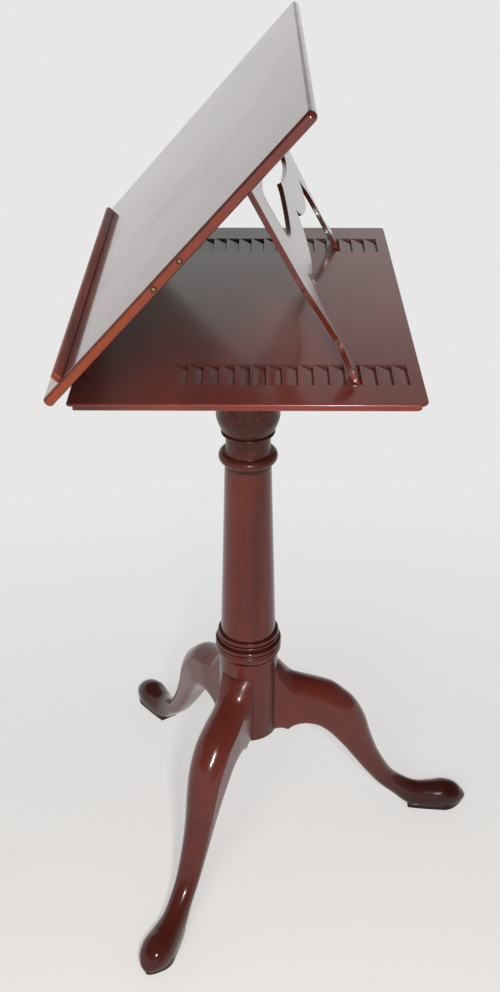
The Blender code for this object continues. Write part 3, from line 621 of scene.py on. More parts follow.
@dataclass(frozen=True)
class Wood:
    """A mahogany finish.

    Args:
        name: Its name.
        slot: The record's slot; not used.
        deep: Colour of the dark figure.
        mid: Colour between.
        light: Colour of the light figure.
        worn: Colour where handling has taken the stain off.
        shade_and_stain: Colour of the painted shade in hollows and of the dark rings round pins.
        turn: Euler turn that brings the grain to the pattern's X, in radians.
        shift: Place of the board in its log.
        roughness: Roughness of the polish, from glossy to rubbed.
        specular: Strength of the stained wood's own gloss.
        coat: Weight of the polish over the stain.
        coat_ior: Refraction of that polish, low for a thin old one.
        coat_roughness: Roughness of that polish.
        relief: Depth of the grain's relief, in metres.
        streak: How much the figure shows.
        mottle: Break-up of the wear.
        stains: Middles of small dark rings, as round pins.
        dark_end: Place where the colour is darkest; on the bed and the legs it stands for painted shade.
        light_end: Place where the colour is lightest.
        tone: Strength of the colour at both ends.
    """

    name: str
    slot: Slot
    deep: Colour = (0.045, 0.0065, 0.0045)
    mid: Colour = (0.112, 0.0150, 0.0095)
    light: Colour = (0.185, 0.0340, 0.0165)
    worn: Colour = (0.300, 0.0700, 0.0280)
    shade_and_stain: Colour = (0.016, 0.0070, 0.0055)
    turn: Colour = (0.0, 0.0, pi / 2)
    shift: Colour = (0.0, 0.0, 0.0)
    roughness: Point2 = (0.24, 0.38)
    specular: float = 0.22
    coat: float = 0.35
    coat_ior: float = 1.40
    coat_roughness: float = 0.10
    relief: float = 0.00004
    streak: float = 0.75
    mottle: float = 0.5
    stains: tuple[Colour, ...] = ()
    dark_end: Colour = (0.0, 0.0, 0.0)
    light_end: Colour = (0.0, 0.0, 1.0)
    tone: Point2 = (1.0, 1.0)

    def material(self, groups: Groups) -> bpy.types.Material:
        """Builds the material.

        Args:
            groups: The shared shader groups.

        Returns:
            The material.
        """
        made, w, shader = start_material(self.name)
        place = w.place()
        along = w.node("ShaderNodeMapping", {"Vector": place, "Rotation": self.turn,
                                             "Location": self.shift}).outputs[0]
        worn_mark, shade_attribute = (w.node("ShaderNodeAttribute", attribute_name=mask.value).outputs["Fac"]
                                  for mask in (Mask.WORN, Mask.HOLLOW))
        grain = w.node("ShaderNodeGroup", {"Place": along}, node_tree=groups.grain).outputs
        wear = w.node("ShaderNodeGroup", {"Place": place, "Mark": worn_mark, "Break up": self.mottle},
                      node_tree=groups.wear).outputs
        # Painted shade in hollows, read from the shade mark and mottled.
        shade_and_stain = w.node("ShaderNodeGroup", {"Place": place, "Mark": shade_attribute},
                       node_tree=groups.shade_tree).outputs["Shade"]
        stain = w.blend(w.product(grain["Figure"], self.streak), self.mid, self.deep)
        stain = w.blend(w.product(grain["Ribbon"], RIBBON_SHARE), stain, self.light)
        stain = w.blend(w.product(grain["Pores"], PORE_SHARE), stain, self.deep)
        worn = w.blend(w.product(grain["Figure"], WORN_FIGURE_SHARE), self.worn, self.light)
        colour = w.blend(wear["Wear"], stain, worn)
        colour = w.blend(w.product(shade_and_stain, SHADE_AND_STAIN_SHARE), colour, self.shade_and_stain)
        for middle in self.stains:
            ring = w.span(w.measure("DISTANCE", place, middle), *STAIN_RING, (SHADE_AND_STAIN_SHARE, 0.0))
            colour = w.blend(ring, colour, self.shade_and_stain)
        # Darker towards dark_end and lighter towards light_end, a painted shade on the bed and the legs.
        if self.tone != (1.0, 1.0):
            reach = Vector(self.light_end) - Vector(self.dark_end)
            start = Vector(self.dark_end).dot(reach) / reach.length_squared
            way = w.measure("DOT_PRODUCT", place, reach / reach.length_squared)
            fade = w.span(way, start, start + 1.0, self.tone)
            colour = w.node("ShaderNodeVectorMath", {0: colour, "Scale": fade}, operation="SCALE").outputs[0]
        bump = w.node("ShaderNodeBump", {"Height": grain["Height"], "Strength": 0.5, "Distance": self.relief})
        lost = w.product(w.math("MAXIMUM", wear["Wear"], shade_and_stain), -POLISH_LOSS * self.coat)
        w.fill(shader, {
            "Base Color": colour,
            "Roughness": w.span(w.math("ADD", wear["Scuff"], shade_and_stain), 0.0, 1.4, self.roughness),
            "Normal": bump.outputs[0],
            "Specular IOR Level": self.specular,
            "Coat Weight": w.math("ADD", lost, self.coat, clamp=True),
            "Coat IOR": self.coat_ior,
            "Coat Roughness": self.coat_roughness,
        })
        return made


@dataclass(frozen=True)
class Metal:
    """An old metal finish.

    Args:
        name: Its name.
        slot: The record's slot; not used.
        bright: Rubbed colour.
        dull: Tarnished colour.
        roughness: Roughness, from rubbed to tarnished.
        spread: Scale of the tarnish, in spots a metre.
    """

    name: str
    slot: Slot
    bright: Colour
    dull: Colour
    roughness: Point2
    spread: float

    def material(self, groups: Groups) -> bpy.types.Material:
        """Builds the material.

        Args:
            groups: The shared shader groups.

        Returns:
            The material.
        """
        made, w, shader = start_material(self.name)
        place = w.place()
        cloud = w.noise(place, self.spread, 6.0)
        amount = w.node("ShaderNodeGroup", {"Place": place, "Mark": cloud, "Grain size": self.spread * 3},
                        node_tree=groups.wear).outputs["Wear"]
        bump = w.node("ShaderNodeBump", {"Height": cloud, "Strength": 0.3, "Distance": 0.0002})
        w.fill(shader, {
            "Base Color": w.blend(amount, self.bright, self.dull),
            "Roughness": w.span(amount, 0.0, 1.0, self.roughness),
            "Normal": bump.outputs[0],
            "Metallic": 1.0,
        })
        return made


class Palette:
    """Makes each finish's material once, and dresses pieces with it."""

    def __init__(self) -> None:
        """Builds the shared groups."""
        self.groups = Groups.build()
        self.made: dict[str, bpy.types.Material] = {}

    def material(self, finish: Wood | Metal) -> bpy.types.Material:
        """Makes a finish's material on its first use.

        Args:
            finish: The finish.

        Returns:
            Its material.
        """
        if finish.name not in self.made:
            self.made[finish.name] = finish.material(self.groups)
        return self.made[finish.name]

    def redress(self, finish: Wood | Metal, *nodes: str) -> None:
        """Gives carried-over CAD nodes a finish.

        Args:
            finish: The finish.
            *nodes: The nodes' names.
        """
        for name in nodes:
            node = frame["nodes"][name]
            for entry in node.material_slots:
                entry.material = self.material(finish)
            LOG.info("redressed %s in %s", name, finish.name)

    def piece(self, solid: Solid, space: Matrix, body: Body, finish: Wood | Metal,
              *replaced: str) -> None:
        """Makes a finished piece of a solid, its place in its mesh.

        Args:
            solid: The solid, drawn in its own space.
            space: Where that space lies.
            body: The body that it rides on.
            finish: Its finish.
            *replaced: CAD nodes that it stands for.
        """
        piece = solid.object
        piece.data.transform(space)
        piece.data.materials.clear()
        piece.data.materials.append(self.material(finish))
        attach(piece, body.value)
        if replaced:
            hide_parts(*replaced)
        LOG.info("%s: %d faces on %s", piece.name, len(piece.data.polygons), body.value)


# Repeated pieces


class Repeater:
    """Starts a Geometry Nodes tree, and turns its result into a plain mesh."""

    def __init__(self, name: str, inputs: dict[str, object]) -> None:
        """Makes the tree with its named inputs.

        Args:
            name: The tree's name.
            inputs: Input names with their values, which give their types.
        """
        kinds = {int: "NodeSocketInt", float: "NodeSocketFloat", bpy.types.Material: "NodeSocketMaterial"}
        self.tree = bpy.data.node_groups.new(name, "GeometryNodeTree")
        self.tree.interface.new_socket("Geometry", in_out="INPUT", socket_type="NodeSocketGeometry")
        self.tree.interface.new_socket("Geometry", in_out="OUTPUT", socket_type="NodeSocketGeometry")
        self.values = inputs
        self.sockets = {key: self.tree.interface.new_socket(key, in_out="INPUT", socket_type=kinds[type(value)])
                        for key, value in inputs.items()}
        self.wires = Wiring(self.tree)
        self.given = self.wires.node("NodeGroupInput").outputs

    def finish(self, geometry: bpy.types.NodeSocket) -> None:
        """Ends the tree in Realize Instances and Set Material.

        Args:
            geometry: The tree's result.
        """
        real = self.wires.node("GeometryNodeRealizeInstances", {0: geometry})
        dressed = self.wires.node("GeometryNodeSetMaterial", {"Geometry": real.outputs[0],
                                                              "Material": self.given["Material"]})
        self.wires.node("NodeGroupOutput", {0: dressed.outputs[0]})

    def apply(self, solid: Solid) -> Solid:
        """Runs the tree on a solid and keeps the result as its mesh.

        Args:
            solid: The solid.

        Returns:
            The solid.
        """
        step = solid.object.modifiers.new(self.tree.name, "NODES")
        step.node_group = self.tree
        for key, value in self.values.items():
            step[self.sockets[key].identifier] = value
        return solid.settle()


# Sub-assemblies


@dataclass
class Assembly:
    """A sub-assembly of the table. Each kind holds its own sizes and builds its pieces.

    Args:
        palette: The palette that dresses it.
        spaces: The spaces that it is drawn in.
    """

    palette: Palette
    spaces: Spaces


@dataclass
class Bed(Assembly):
    """The flat bed: a lipped board with two rows of hand-cut notches."""

    top: float = 0.720
    depth: float = 0.318
    length: float = 0.468
    centre_x: float = 0.0012
    lip_thickness: float = 0.0026
    lip_reach: float = 0.0050
    lip_bulge: float = 0.75
    under_thickness: float = 0.0067
    under_round: float = 0.0020
    corners: tuple[float, ...] = (0.0100, 0.0040, 0.0040, 0.0040)
    notch_count: int = 15
    notch_pitch: float = 0.01445
    notch_depth: float = 0.0032
    notch_start_x: float = -0.0690
    row_width: float = 0.0445
    row_margin: float = 0.0387
    notch_share: float = 0.975
    notch_taper: float = 0.055
    cutter_rise: float = 0.004
    cut_least: Colour = (1.0, 0.975, 1.0)
    cut_most: Colour = (1.0, 1.012, 1.07)
    cutter_height: float = 0.02
    rounding: float = 0.00022
    slack: float = 0.0005
    # Painted shade on the notches' walls and floors.
    wall_mark: float = 0.95
    floor_mark: Point2 = (0.05, 0.40)
    # The lip's arris and the notches' crests are lighter where worn, which also paints a highlight along them.
    lip_wear_and_highlight: float = 0.45
    crest_wear_and_highlight: float = 0.70
    notch_band: Point2 = (0.0001, 0.0045)
    lip_band: Point2 = (0.0009, 0.0012)
    lip_slope: float = 0.97
    crest_band: float = 0.0006
    crest_slope: Point2 = (0.2, 0.9)

    def board(self) -> Solid:
        """Draws the board with its moulded edge.

        Returns:
            The board.
        """
        lip = self.lip_thickness / 2
        profile = [(self.lip_reach + self.under_round * (1 - sin(a)), self.under_round * (1 - cos(a)))
                   for a in (i / 7 * pi / 2 for i in range(8))]
        profile.append((self.lip_reach, self.under_thickness - self.under_round))
        for i in range(1, 6):
            a = i / 5 * pi / 2
            profile.append((self.lip_reach - self.under_round / 2 * sin(a),
                            self.under_thickness - self.under_round * (1 - i / 5)))
        for i in range(13):
            a = (i / 12 - 0.5) * pi
            profile.append((lip * self.lip_bulge * (1 - cos(a)), self.under_thickness + lip * (1 + sin(a))))
        rings = [rounded_rectangle(self.depth / 2, self.length / 2, self.corners, inset, height)
                 for inset, height in profile]
        solid = Solid("bed_top", loft("bed_top", rings))
        low = self.top - self.under_thickness - self.lip_thickness
        solid.mesh.transform(Matrix.Translation((self.centre_x, 0, low)))
        return solid

    def notches(self) -> Repeater:
        """Builds the tree that cuts the two rows of saw-tooth notches.

        Returns:
            The tree with its inputs.
        """
        tree = Repeater("ratchet_notches", {
            "Count": self.notch_count, "Pitch": self.notch_pitch, "Depth": self.notch_depth,
            "Row width": self.row_width, "Start X": self.notch_start_x, "Top": self.top,
            "Row Y": self.length / 2 - self.row_margin - self.row_width / 2, "Seed": 7,
            "Material": self.palette.material(BED_POLISH)})
        w, given = tree.wires, tree.given
        width = w.product(given["Pitch"], self.notch_share)
        size = w.point(width, given["Row width"], self.cutter_height)
        cube = w.node("GeometryNodeMeshCube", {"Size": size})
        x, y, z = w.node("ShaderNodeSeparateXYZ", {0: w.node("GeometryNodeInputPosition").outputs[0]}).outputs
        share = w.math("ADD", w.math("DIVIDE", x, width), 0.5)
        below = w.math("LESS_THAN", z, 0.0)
        sunk = w.product(w.product(share, given["Depth"]), -1.0)
        risen = w.product(w.math("SUBTRACT", 1.0, below), self.cutter_rise)
        height = w.math("ADD", w.product(below, sunk), risen)
        drawn_in = w.math("SUBTRACT", 1.0, w.product(w.product(below, share), self.notch_taper))
        wedge = w.node("GeometryNodeSetPosition", {"Geometry": cube.outputs[0],
                                                   "Position": w.point(x, w.product(y, drawn_in), height)})
        first = w.math("ADD", given["Start X"], w.product(given["Pitch"], 0.5))
        board = given["Geometry"]
        for number, side in enumerate((-1.0, 1.0)):
            start = w.point(first, w.product(given["Row Y"], side), given["Top"])
            line = w.node("GeometryNodeMeshLine", {"Count": given["Count"], "Start Location": start,
                                                   "Offset": w.point(given["Pitch"])}, mode="OFFSET")
            wobble = w.node("FunctionNodeRandomValue", {
                "Min": self.cut_least, "Max": self.cut_most,
                "Seed": w.math("ADD", given["Seed"], float(number))}, data_type="FLOAT_VECTOR")
            cut = w.node("GeometryNodeInstanceOnPoints", {
                "Points": line.outputs[0], "Instance": wedge.outputs[0], "Scale": wobble.outputs[0]})
            cutter = w.node("GeometryNodeRealizeInstances", {0: cut.outputs[0]})
            board = w.node("GeometryNodeMeshBoolean", {0: board, 1: cutter.outputs[0]}, operation="DIFFERENCE",
                           solver="EXACT").outputs[0]
        tree.finish(board)
        return tree

    def build(self) -> None:
        """Cuts, softens and dresses the bed."""
        solid = self.notches().apply(self.board())
        solid.soften(self.rounding, 2, 0.35).smooth(0.45)
        row_outer = self.length / 2 - self.row_margin
        row_end = self.notch_start_x + self.notch_count * self.notch_pitch

        def hollow(at: Vector, middle: Vector, normal: Vector) -> float:
            """Paints shade into a notch's floor and wall, deeper towards the corner between them.

            Args:
                at: The corner's place.
                middle: The face's middle.
                normal: The face's normal.

            Returns:
                The mark.
            """
            along = self.notch_start_x < middle.x < row_end + self.slack
            across_row = row_outer - self.row_width - self.slack < abs(middle.y) < row_outer + self.slack
            least, most = self.notch_band
            if not (along and across_row and self.top - most < middle.z < self.top - least):
                return 0.0
            crest_mark, deepening = self.floor_mark
            depth_share = (self.top - at.z) / self.notch_depth
            return self.wall_mark if normal.y < -0.5 else crest_mark + depth_share * deepening

        def worn(at: Vector, middle: Vector, normal: Vector) -> float:
            """Marks the lip's upper arris and the notches' crests as worn, which also paints a highlight along
            them.

            Args:
                at: The corner's place.
                middle: The face's middle.
                normal: The face's normal.

            Returns:
                The mark.
            """
            edge = min(self.depth / 2 - abs(middle.x - self.centre_x), self.length / 2 - abs(middle.y))
            drop, reach = self.lip_band
            if middle.z > self.top - drop and edge < reach and normal.z < self.lip_slope:
                return self.lip_wear_and_highlight
            low, high = self.crest_slope
            crest = middle.z > self.top - self.crest_band and low < normal.z < high
            return self.crest_wear_and_highlight if crest and hollow(at, middle, normal) > 0 else 0.0

        mark(solid.mesh, Mask.HOLLOW, hollow)
        mark(solid.mesh, Mask.WORN, worn)
        self.palette.piece(solid, self.spaces.stand, Body.STAND, BED_POLISH, "bed")


class Turning(Enum):
    """Kinds of turned member."""

    FILLET = "fillet"
    TAPER = "taper"
    BEAD = "bead"


@dataclass(frozen=True)
class Member:
    """One turned member of the column.

    A taper has an extra ring near either end, so that a mark at its seam stays short.

    Args:
        kind: Its form.
        height: Its height.
        low: Radius at its foot.
        high: Radius at its head.
        peak: Radius at its middle, for a bead or a waist.
    """

    kind: Turning
    height: float
    low: float
    high: float
    peak: float = 0.0

    def profile(self, foot: float, steps: int = 14) -> list[Point2]:
        """Draws its outline.

        Args:
            foot: Height of its foot.
            steps: Steps of a bead.

        Returns:
            Its (radius, height) points from the foot up.
        """
        if self.kind is Turning.FILLET:
            return [(self.low, foot), (self.high, foot + self.height)]
        if self.kind is Turning.TAPER:
            near = SEAM / self.height
            return [(self.low + (self.high - self.low) * share, foot + self.height * share)
                    for share in (0.0, near, 0.25, 0.5, 0.75, 1 - near, 1.0)]
        points = []
        for i in range(steps + 1):
            angle = pi * i / steps
            edge = self.low + (self.high - self.low) * i / steps
            points.append((edge + (self.peak - edge) * sin(angle), foot + self.height * (1 - cos(angle)) / 2))
        return points


@dataclass
class Column(Assembly):
    """The turned column, from its drum up to the tenon."""

    drum_bottom: float = 0.1500
    drum_top: float = 0.2690
    drum_radius: float = 0.0360
    members: tuple[Member, ...] = (
        Member(Turning.FILLET, 0.0025, 0.0345, 0.0345),
        Member(Turning.BEAD, 0.0091, 0.0362, 0.0380, 0.0397),
        Member(Turning.BEAD, 0.0036, 0.0384, 0.0384, 0.0398),
        Member(Turning.BEAD, 0.0058, 0.0382, 0.0366, 0.0398),
        Member(Turning.FILLET, 0.0024, 0.0360, 0.0360),
        Member(Turning.BEAD, 0.0036, 0.0358, 0.0358, 0.0372),
        Member(Turning.BEAD, 0.0062, 0.0352, 0.0336, 0.0366),
        Member(Turning.TAPER, 0.2268, 0.0329, 0.0263),
        Member(Turning.FILLET, 0.0045, 0.0270, 0.0270),
        Member(Turning.BEAD, 0.0125, 0.0270, 0.0270, 0.0332),
        Member(Turning.BEAD, 0.0205, 0.0262, 0.0262, 0.0250),
        Member(Turning.FILLET, 0.0025, 0.0262, 0.0262),
        Member(Turning.BEAD, 0.0025, 0.0290, 0.0290, 0.0300),
    )
    vase_height: float = 0.0880
    vase_radius: float = 0.0352
    vase_neck: float = 0.0245
    vase_shares: tuple[Point2, ...] = (
        (0.0, 0.30), (0.06, 0.62), (0.18, 0.96), (0.27, 1.0), (0.42, 0.86), (0.62, 0.34), (0.80, 0.05))
    capital_radius: float = 0.0420
    tenon_radius: float = 0.0170
    foot_round: float = 0.0008
    lip_round: float = 0.0006
    shade_from: float = 0.5180
    shade_fade: float = 0.0400
    shade_mark: float = 0.90
    quirk: float = 0.0014
    sides: int = 128

    def profile(self) -> list[Point2]:
        """Draws the whole outline.

        Returns:
            Its (radius, height) points from the drum's foot up.
        """
        tenon_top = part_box("column")[1].z
        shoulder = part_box("top_block")[0].z - GAP
        points = [(0.0, self.drum_bottom), (self.drum_radius - self.foot_round, self.drum_bottom),
                  (self.drum_radius, self.drum_bottom + self.foot_round),
                  (self.drum_radius, self.drum_top - SEAM), (self.drum_radius, self.drum_top)]
        height = self.drum_top
        for member in self.members:
            points += member.profile(height)
            height += member.height
        swell, rim = self.vase_radius - self.vase_neck, height + self.vase_height
        knots = [(self.vase_neck + swell * bulge, height + self.vase_height * rise)
                 for rise, bulge in self.vase_shares]
        knots.append((self.capital_radius - self.lip_round, rim))
        points += flat_curve(knots, 8)
        points += [(self.capital_radius, rim + self.lip_round), (self.capital_radius, shoulder),
                   (self.tenon_radius, shoulder), (self.tenon_radius, tenon_top), (0.0, tenon_top)]
        return points

    def build(self) -> None:
        """Turns and dresses the column."""
        solid = Solid("column_turning", lathe("column_turning", self.profile(), self.sides))
        solid.mesh.shade_smooth()
        solid.mesh.set_sharp_from_angle(angle=0.55)
        seams = [self.drum_top]
        for member in self.members:
            seams.append(seams[-1] + member.height)

        def hollow(at: Vector, middle: Vector, normal: Vector) -> float:
            """Paints shade into the quirks between the members, and under the bed."""
            quirk = 1 - min(abs(at.z - seam) for seam in seams) / self.quirk
            return max(quirk, min((at.z - self.shade_from) / self.shade_fade, 1.0) * self.shade_mark)

        mark(solid.mesh, Mask.HOLLOW, hollow)
        self.palette.piece(solid, self.spaces.stand, Body.STAND, COLUMN_POLISH, "column")


@dataclass(frozen=True)
class LegStation:
    """A section of the leg; r is a share of its reach and z of the knee's height.

    Args:
        upper: (r, z) of the upper outline.
        lower: (r, z) of the lower outline.
        width: Width as a share of the leg's.
        body: Roundness of the section under its arrises, from 0, square, to 1, round.
        crown: Depth of the rounded crown as a share of the section's height.
        arris: Share of a right angle that the crown's arc leaves out at either arris.
    """

    upper: Point2
    lower: Point2
    width: float
    body: float
    crown: float
    arris: float


@dataclass
class Legs(Assembly):
    """Three cabriole legs with slipper feet on thin soles.

    A placed leg has a name, its direction in degrees, and how dark its toe is, a painted shade near the floor.
    """

    reach: float = 0.2905
    knee_height: float = 0.2080
    leg_width: float = 0.0445
    placed: tuple[tuple[str, float, float], ...] = (
        ("right", 3.5, 0.26), ("back", 123.3, 0.40), ("front", 246.5, 0.55))
    drum_radius: float = 0.0360
    sole_width: float = 0.0400
    sole_thickness: float = 0.0065
    cusp: int = 2
    steps: int = 7
    sole_mark: float = 0.85
    toe_worn: float = 0.40
    toe_share: float = 0.93
    toe_rub: float = 0.03
    toe_tip: float = 0.0008
    sole_round: float = 0.0005
    sole_band: float = 0.0004
    joint_mark: float = 1.1
    scribe_height: float = 0.3
    stations: tuple[LegStation, ...] = (
        LegStation((0.096, 1.231), (0.096, 0.724), 0.90, 0.14, 0.04, 0.33),
        LegStation((0.140, 1.168), (0.139, 0.736), 0.92, 0.14, 0.14, 0.33),
        LegStation((0.184, 1.101), (0.169, 0.724), 0.94, 0.15, 0.19, 0.33),
        LegStation((0.234, 1.068), (0.199, 0.757), 0.97, 0.16, 0.23, 0.33),
        LegStation((0.285, 1.042), (0.244, 0.770), 1.00, 0.18, 0.25, 0.33),
        LegStation((0.366, 0.998), (0.298, 0.750), 1.00, 0.20, 0.26, 0.33),
        LegStation((0.421, 0.936), (0.341, 0.702), 0.99, 0.24, 0.28, 0.33),
        LegStation((0.470, 0.862), (0.379, 0.635), 0.94, 0.28, 0.30, 0.32),
        LegStation((0.514, 0.741), (0.417, 0.560), 0.87, 0.34, 0.36, 0.28),
        LegStation((0.546, 0.592), (0.461, 0.464), 0.78, 0.42, 0.42, 0.20),
        LegStation((0.586, 0.441), (0.516, 0.344), 0.70, 0.54, 0.47, 0.10),
        LegStation((0.648, 0.284), (0.585, 0.212), 0.63, 0.70, 0.50, 0.00),
        LegStation((0.708, 0.207), (0.657, 0.112), 0.61, 0.78, 0.50, 0.00),
        LegStation((0.775, 0.161), (0.726, 0.031), 0.66, 0.60, 0.56, 0.00),
        LegStation((0.847, 0.151), (0.799, 0.022), 0.80, 0.40, 0.65, 0.00),
        LegStation((0.904, 0.154), (0.881, 0.020), 0.90, 0.36, 0.70, 0.00),
        LegStation((0.955, 0.127), (0.943, 0.022), 0.76, 0.38, 0.70, 0.00),
        LegStation((0.988, 0.077), (0.981, 0.028), 0.42, 0.50, 0.60, 0.00),
        LegStation((1.000, 0.048), (0.996, 0.037), 0.15, 0.80, 0.50, 0.00),
    )
    sole_shares: tuple[Point2, ...] = (
        (0.731, 0.298), (0.773, 0.365), (0.822, 0.425), (0.871, 0.475), (0.902, 0.500),
        (0.933, 0.440), (0.960, 0.300), (0.978, 0.175), (0.989, 0.062),
    )

    def section(self, upper: Vector, lower: Vector, width: float, shape: Vector) -> list[Vector]:
        """Draws one section, square to the leg's plane.

        Args:
            upper: (r, z) of its top.
            lower: (r, z) of its bottom.
            width: Its width.
            shape: Its body, crown and arris.

        Returns:
            The ring's points, from one arris over the crown and back under the body.
        """
        body, crown, arris = shape
        start = arris * pi / 2
        spring = 1 - 2 * crown
        outline = []
        for i in range(21):
            angle = start + (pi - 2 * start) * i / 20
            swell = (sin(angle) - sin(start)) / (1 - sin(start))
            outline.append((cos(angle) / cos(start), spring + 2 * crown * swell))
        for i in range(1, 20):
            angle = pi * (1 + i / 20)
            side = -1 if i < 10 else 1
            outline.append((side * abs(cos(angle)) ** body, spring - (1 + spring) * abs(sin(angle)) ** body))
        middle, rise = (upper + lower) / 2, (upper - lower) / 2
        ring = []
        for across, along in outline:
            point = middle + rise * along
            ring.append(Vector((point.x, across * width / 2, point.y)))
        return ring

    def blank(self) -> Solid:
        """Carves one leg along X, scribed to the drum.

        Returns:
            The leg without its sole.
        """
        uppers = [(s.upper[0] * self.reach, s.upper[1] * self.knee_height) for s in self.stations]
        lowers = [(s.lower[0] * self.reach, s.lower[1] * self.knee_height) for s in self.stations]
        over = curve_through(uppers, self.steps)
        under = curve_through(lowers[:self.cusp + 1], self.steps)[:-1]
        under += curve_through(lowers[self.cusp:], self.steps)
        widths = curve_through([(s.width * self.leg_width, 0.0) for s in self.stations], self.steps)
        shapes = curve_through([(s.body, s.crown, s.arris) for s in self.stations], self.steps)
        rings = [self.section(upper, lower, width.x, Vector(max(value, 0.0) for value in shape))
                 for upper, lower, width, shape in zip(over, under, widths, shapes)]
        solid = Solid("leg", loft("leg", rings))
        scribe, top = self.drum_radius + GAP, self.scribe_height
        drum = lathe("drum_scribe", [(0, 0.0), (scribe, 0.0), (scribe, top), (0, top)], 96)
        return solid.combine(Solid("drum_scribe", drum), "DIFFERENCE")

    def sole(self) -> Solid:
        """Cuts the sole under the foot, pointed at the toe and square at the heel.

        Returns:
            The sole.
        """
        knots = [(r * self.reach, half * self.sole_width) for r, half in self.sole_shares]
        tip = (knots[-1][0] + self.toe_tip, 0.0)
        side = flat_curve(knots, 5)
        outline = side + [tip] + [(r, -half) for r, half in reversed(side)]
        solid = Solid("sole", board_from_outlines("sole", [outline], self.sole_thickness))
        solid.mesh.transform(Matrix.Translation((0, 0, self.sole_thickness / 2)))
        return solid.soften(self.sole_round, 3)

    def build(self) -> None:
        """Carves one leg, joins its sole, and stands three of them round the drum."""
        leg = self.blank().combine(self.sole(), "UNION").smooth(0.36)

        def hollow(at: Vector, middle: Vector, normal: Vector) -> float:
            """Paints shade into the joint with the drum and onto the sole's edge."""
            joint = self.joint_mark - (hypot(at.x, at.y) - self.drum_radius) / SEAM
            return max(joint, self.sole_mark if middle.z < self.sole_thickness - self.sole_band else 0.0)

        def worn(at: Vector, middle: Vector, normal: Vector) -> float:
            """Marks the top of the toe, which shoes rub."""
            rubbed = self.toe_worn - abs(at.x - self.toe_share * self.reach) / self.toe_rub
            return rubbed if at.z > self.sole_thickness else 0.0

        mark(leg.mesh, Mask.HOLLOW, hollow)
        mark(leg.mesh, Mask.WORN, worn)
        for name, azimuth, toe_shade in self.placed:
            turned = Solid("leg_carving_" + name, leg.mesh.copy())
            turn = self.spaces.stand @ Matrix.Rotation(radians(azimuth), 4, "Z")
            self.palette.piece(turned, turn, Body.STAND, leg_polish(name, azimuth, toe_shade), "leg_" + name)
        bpy.data.objects.remove(leg.object)


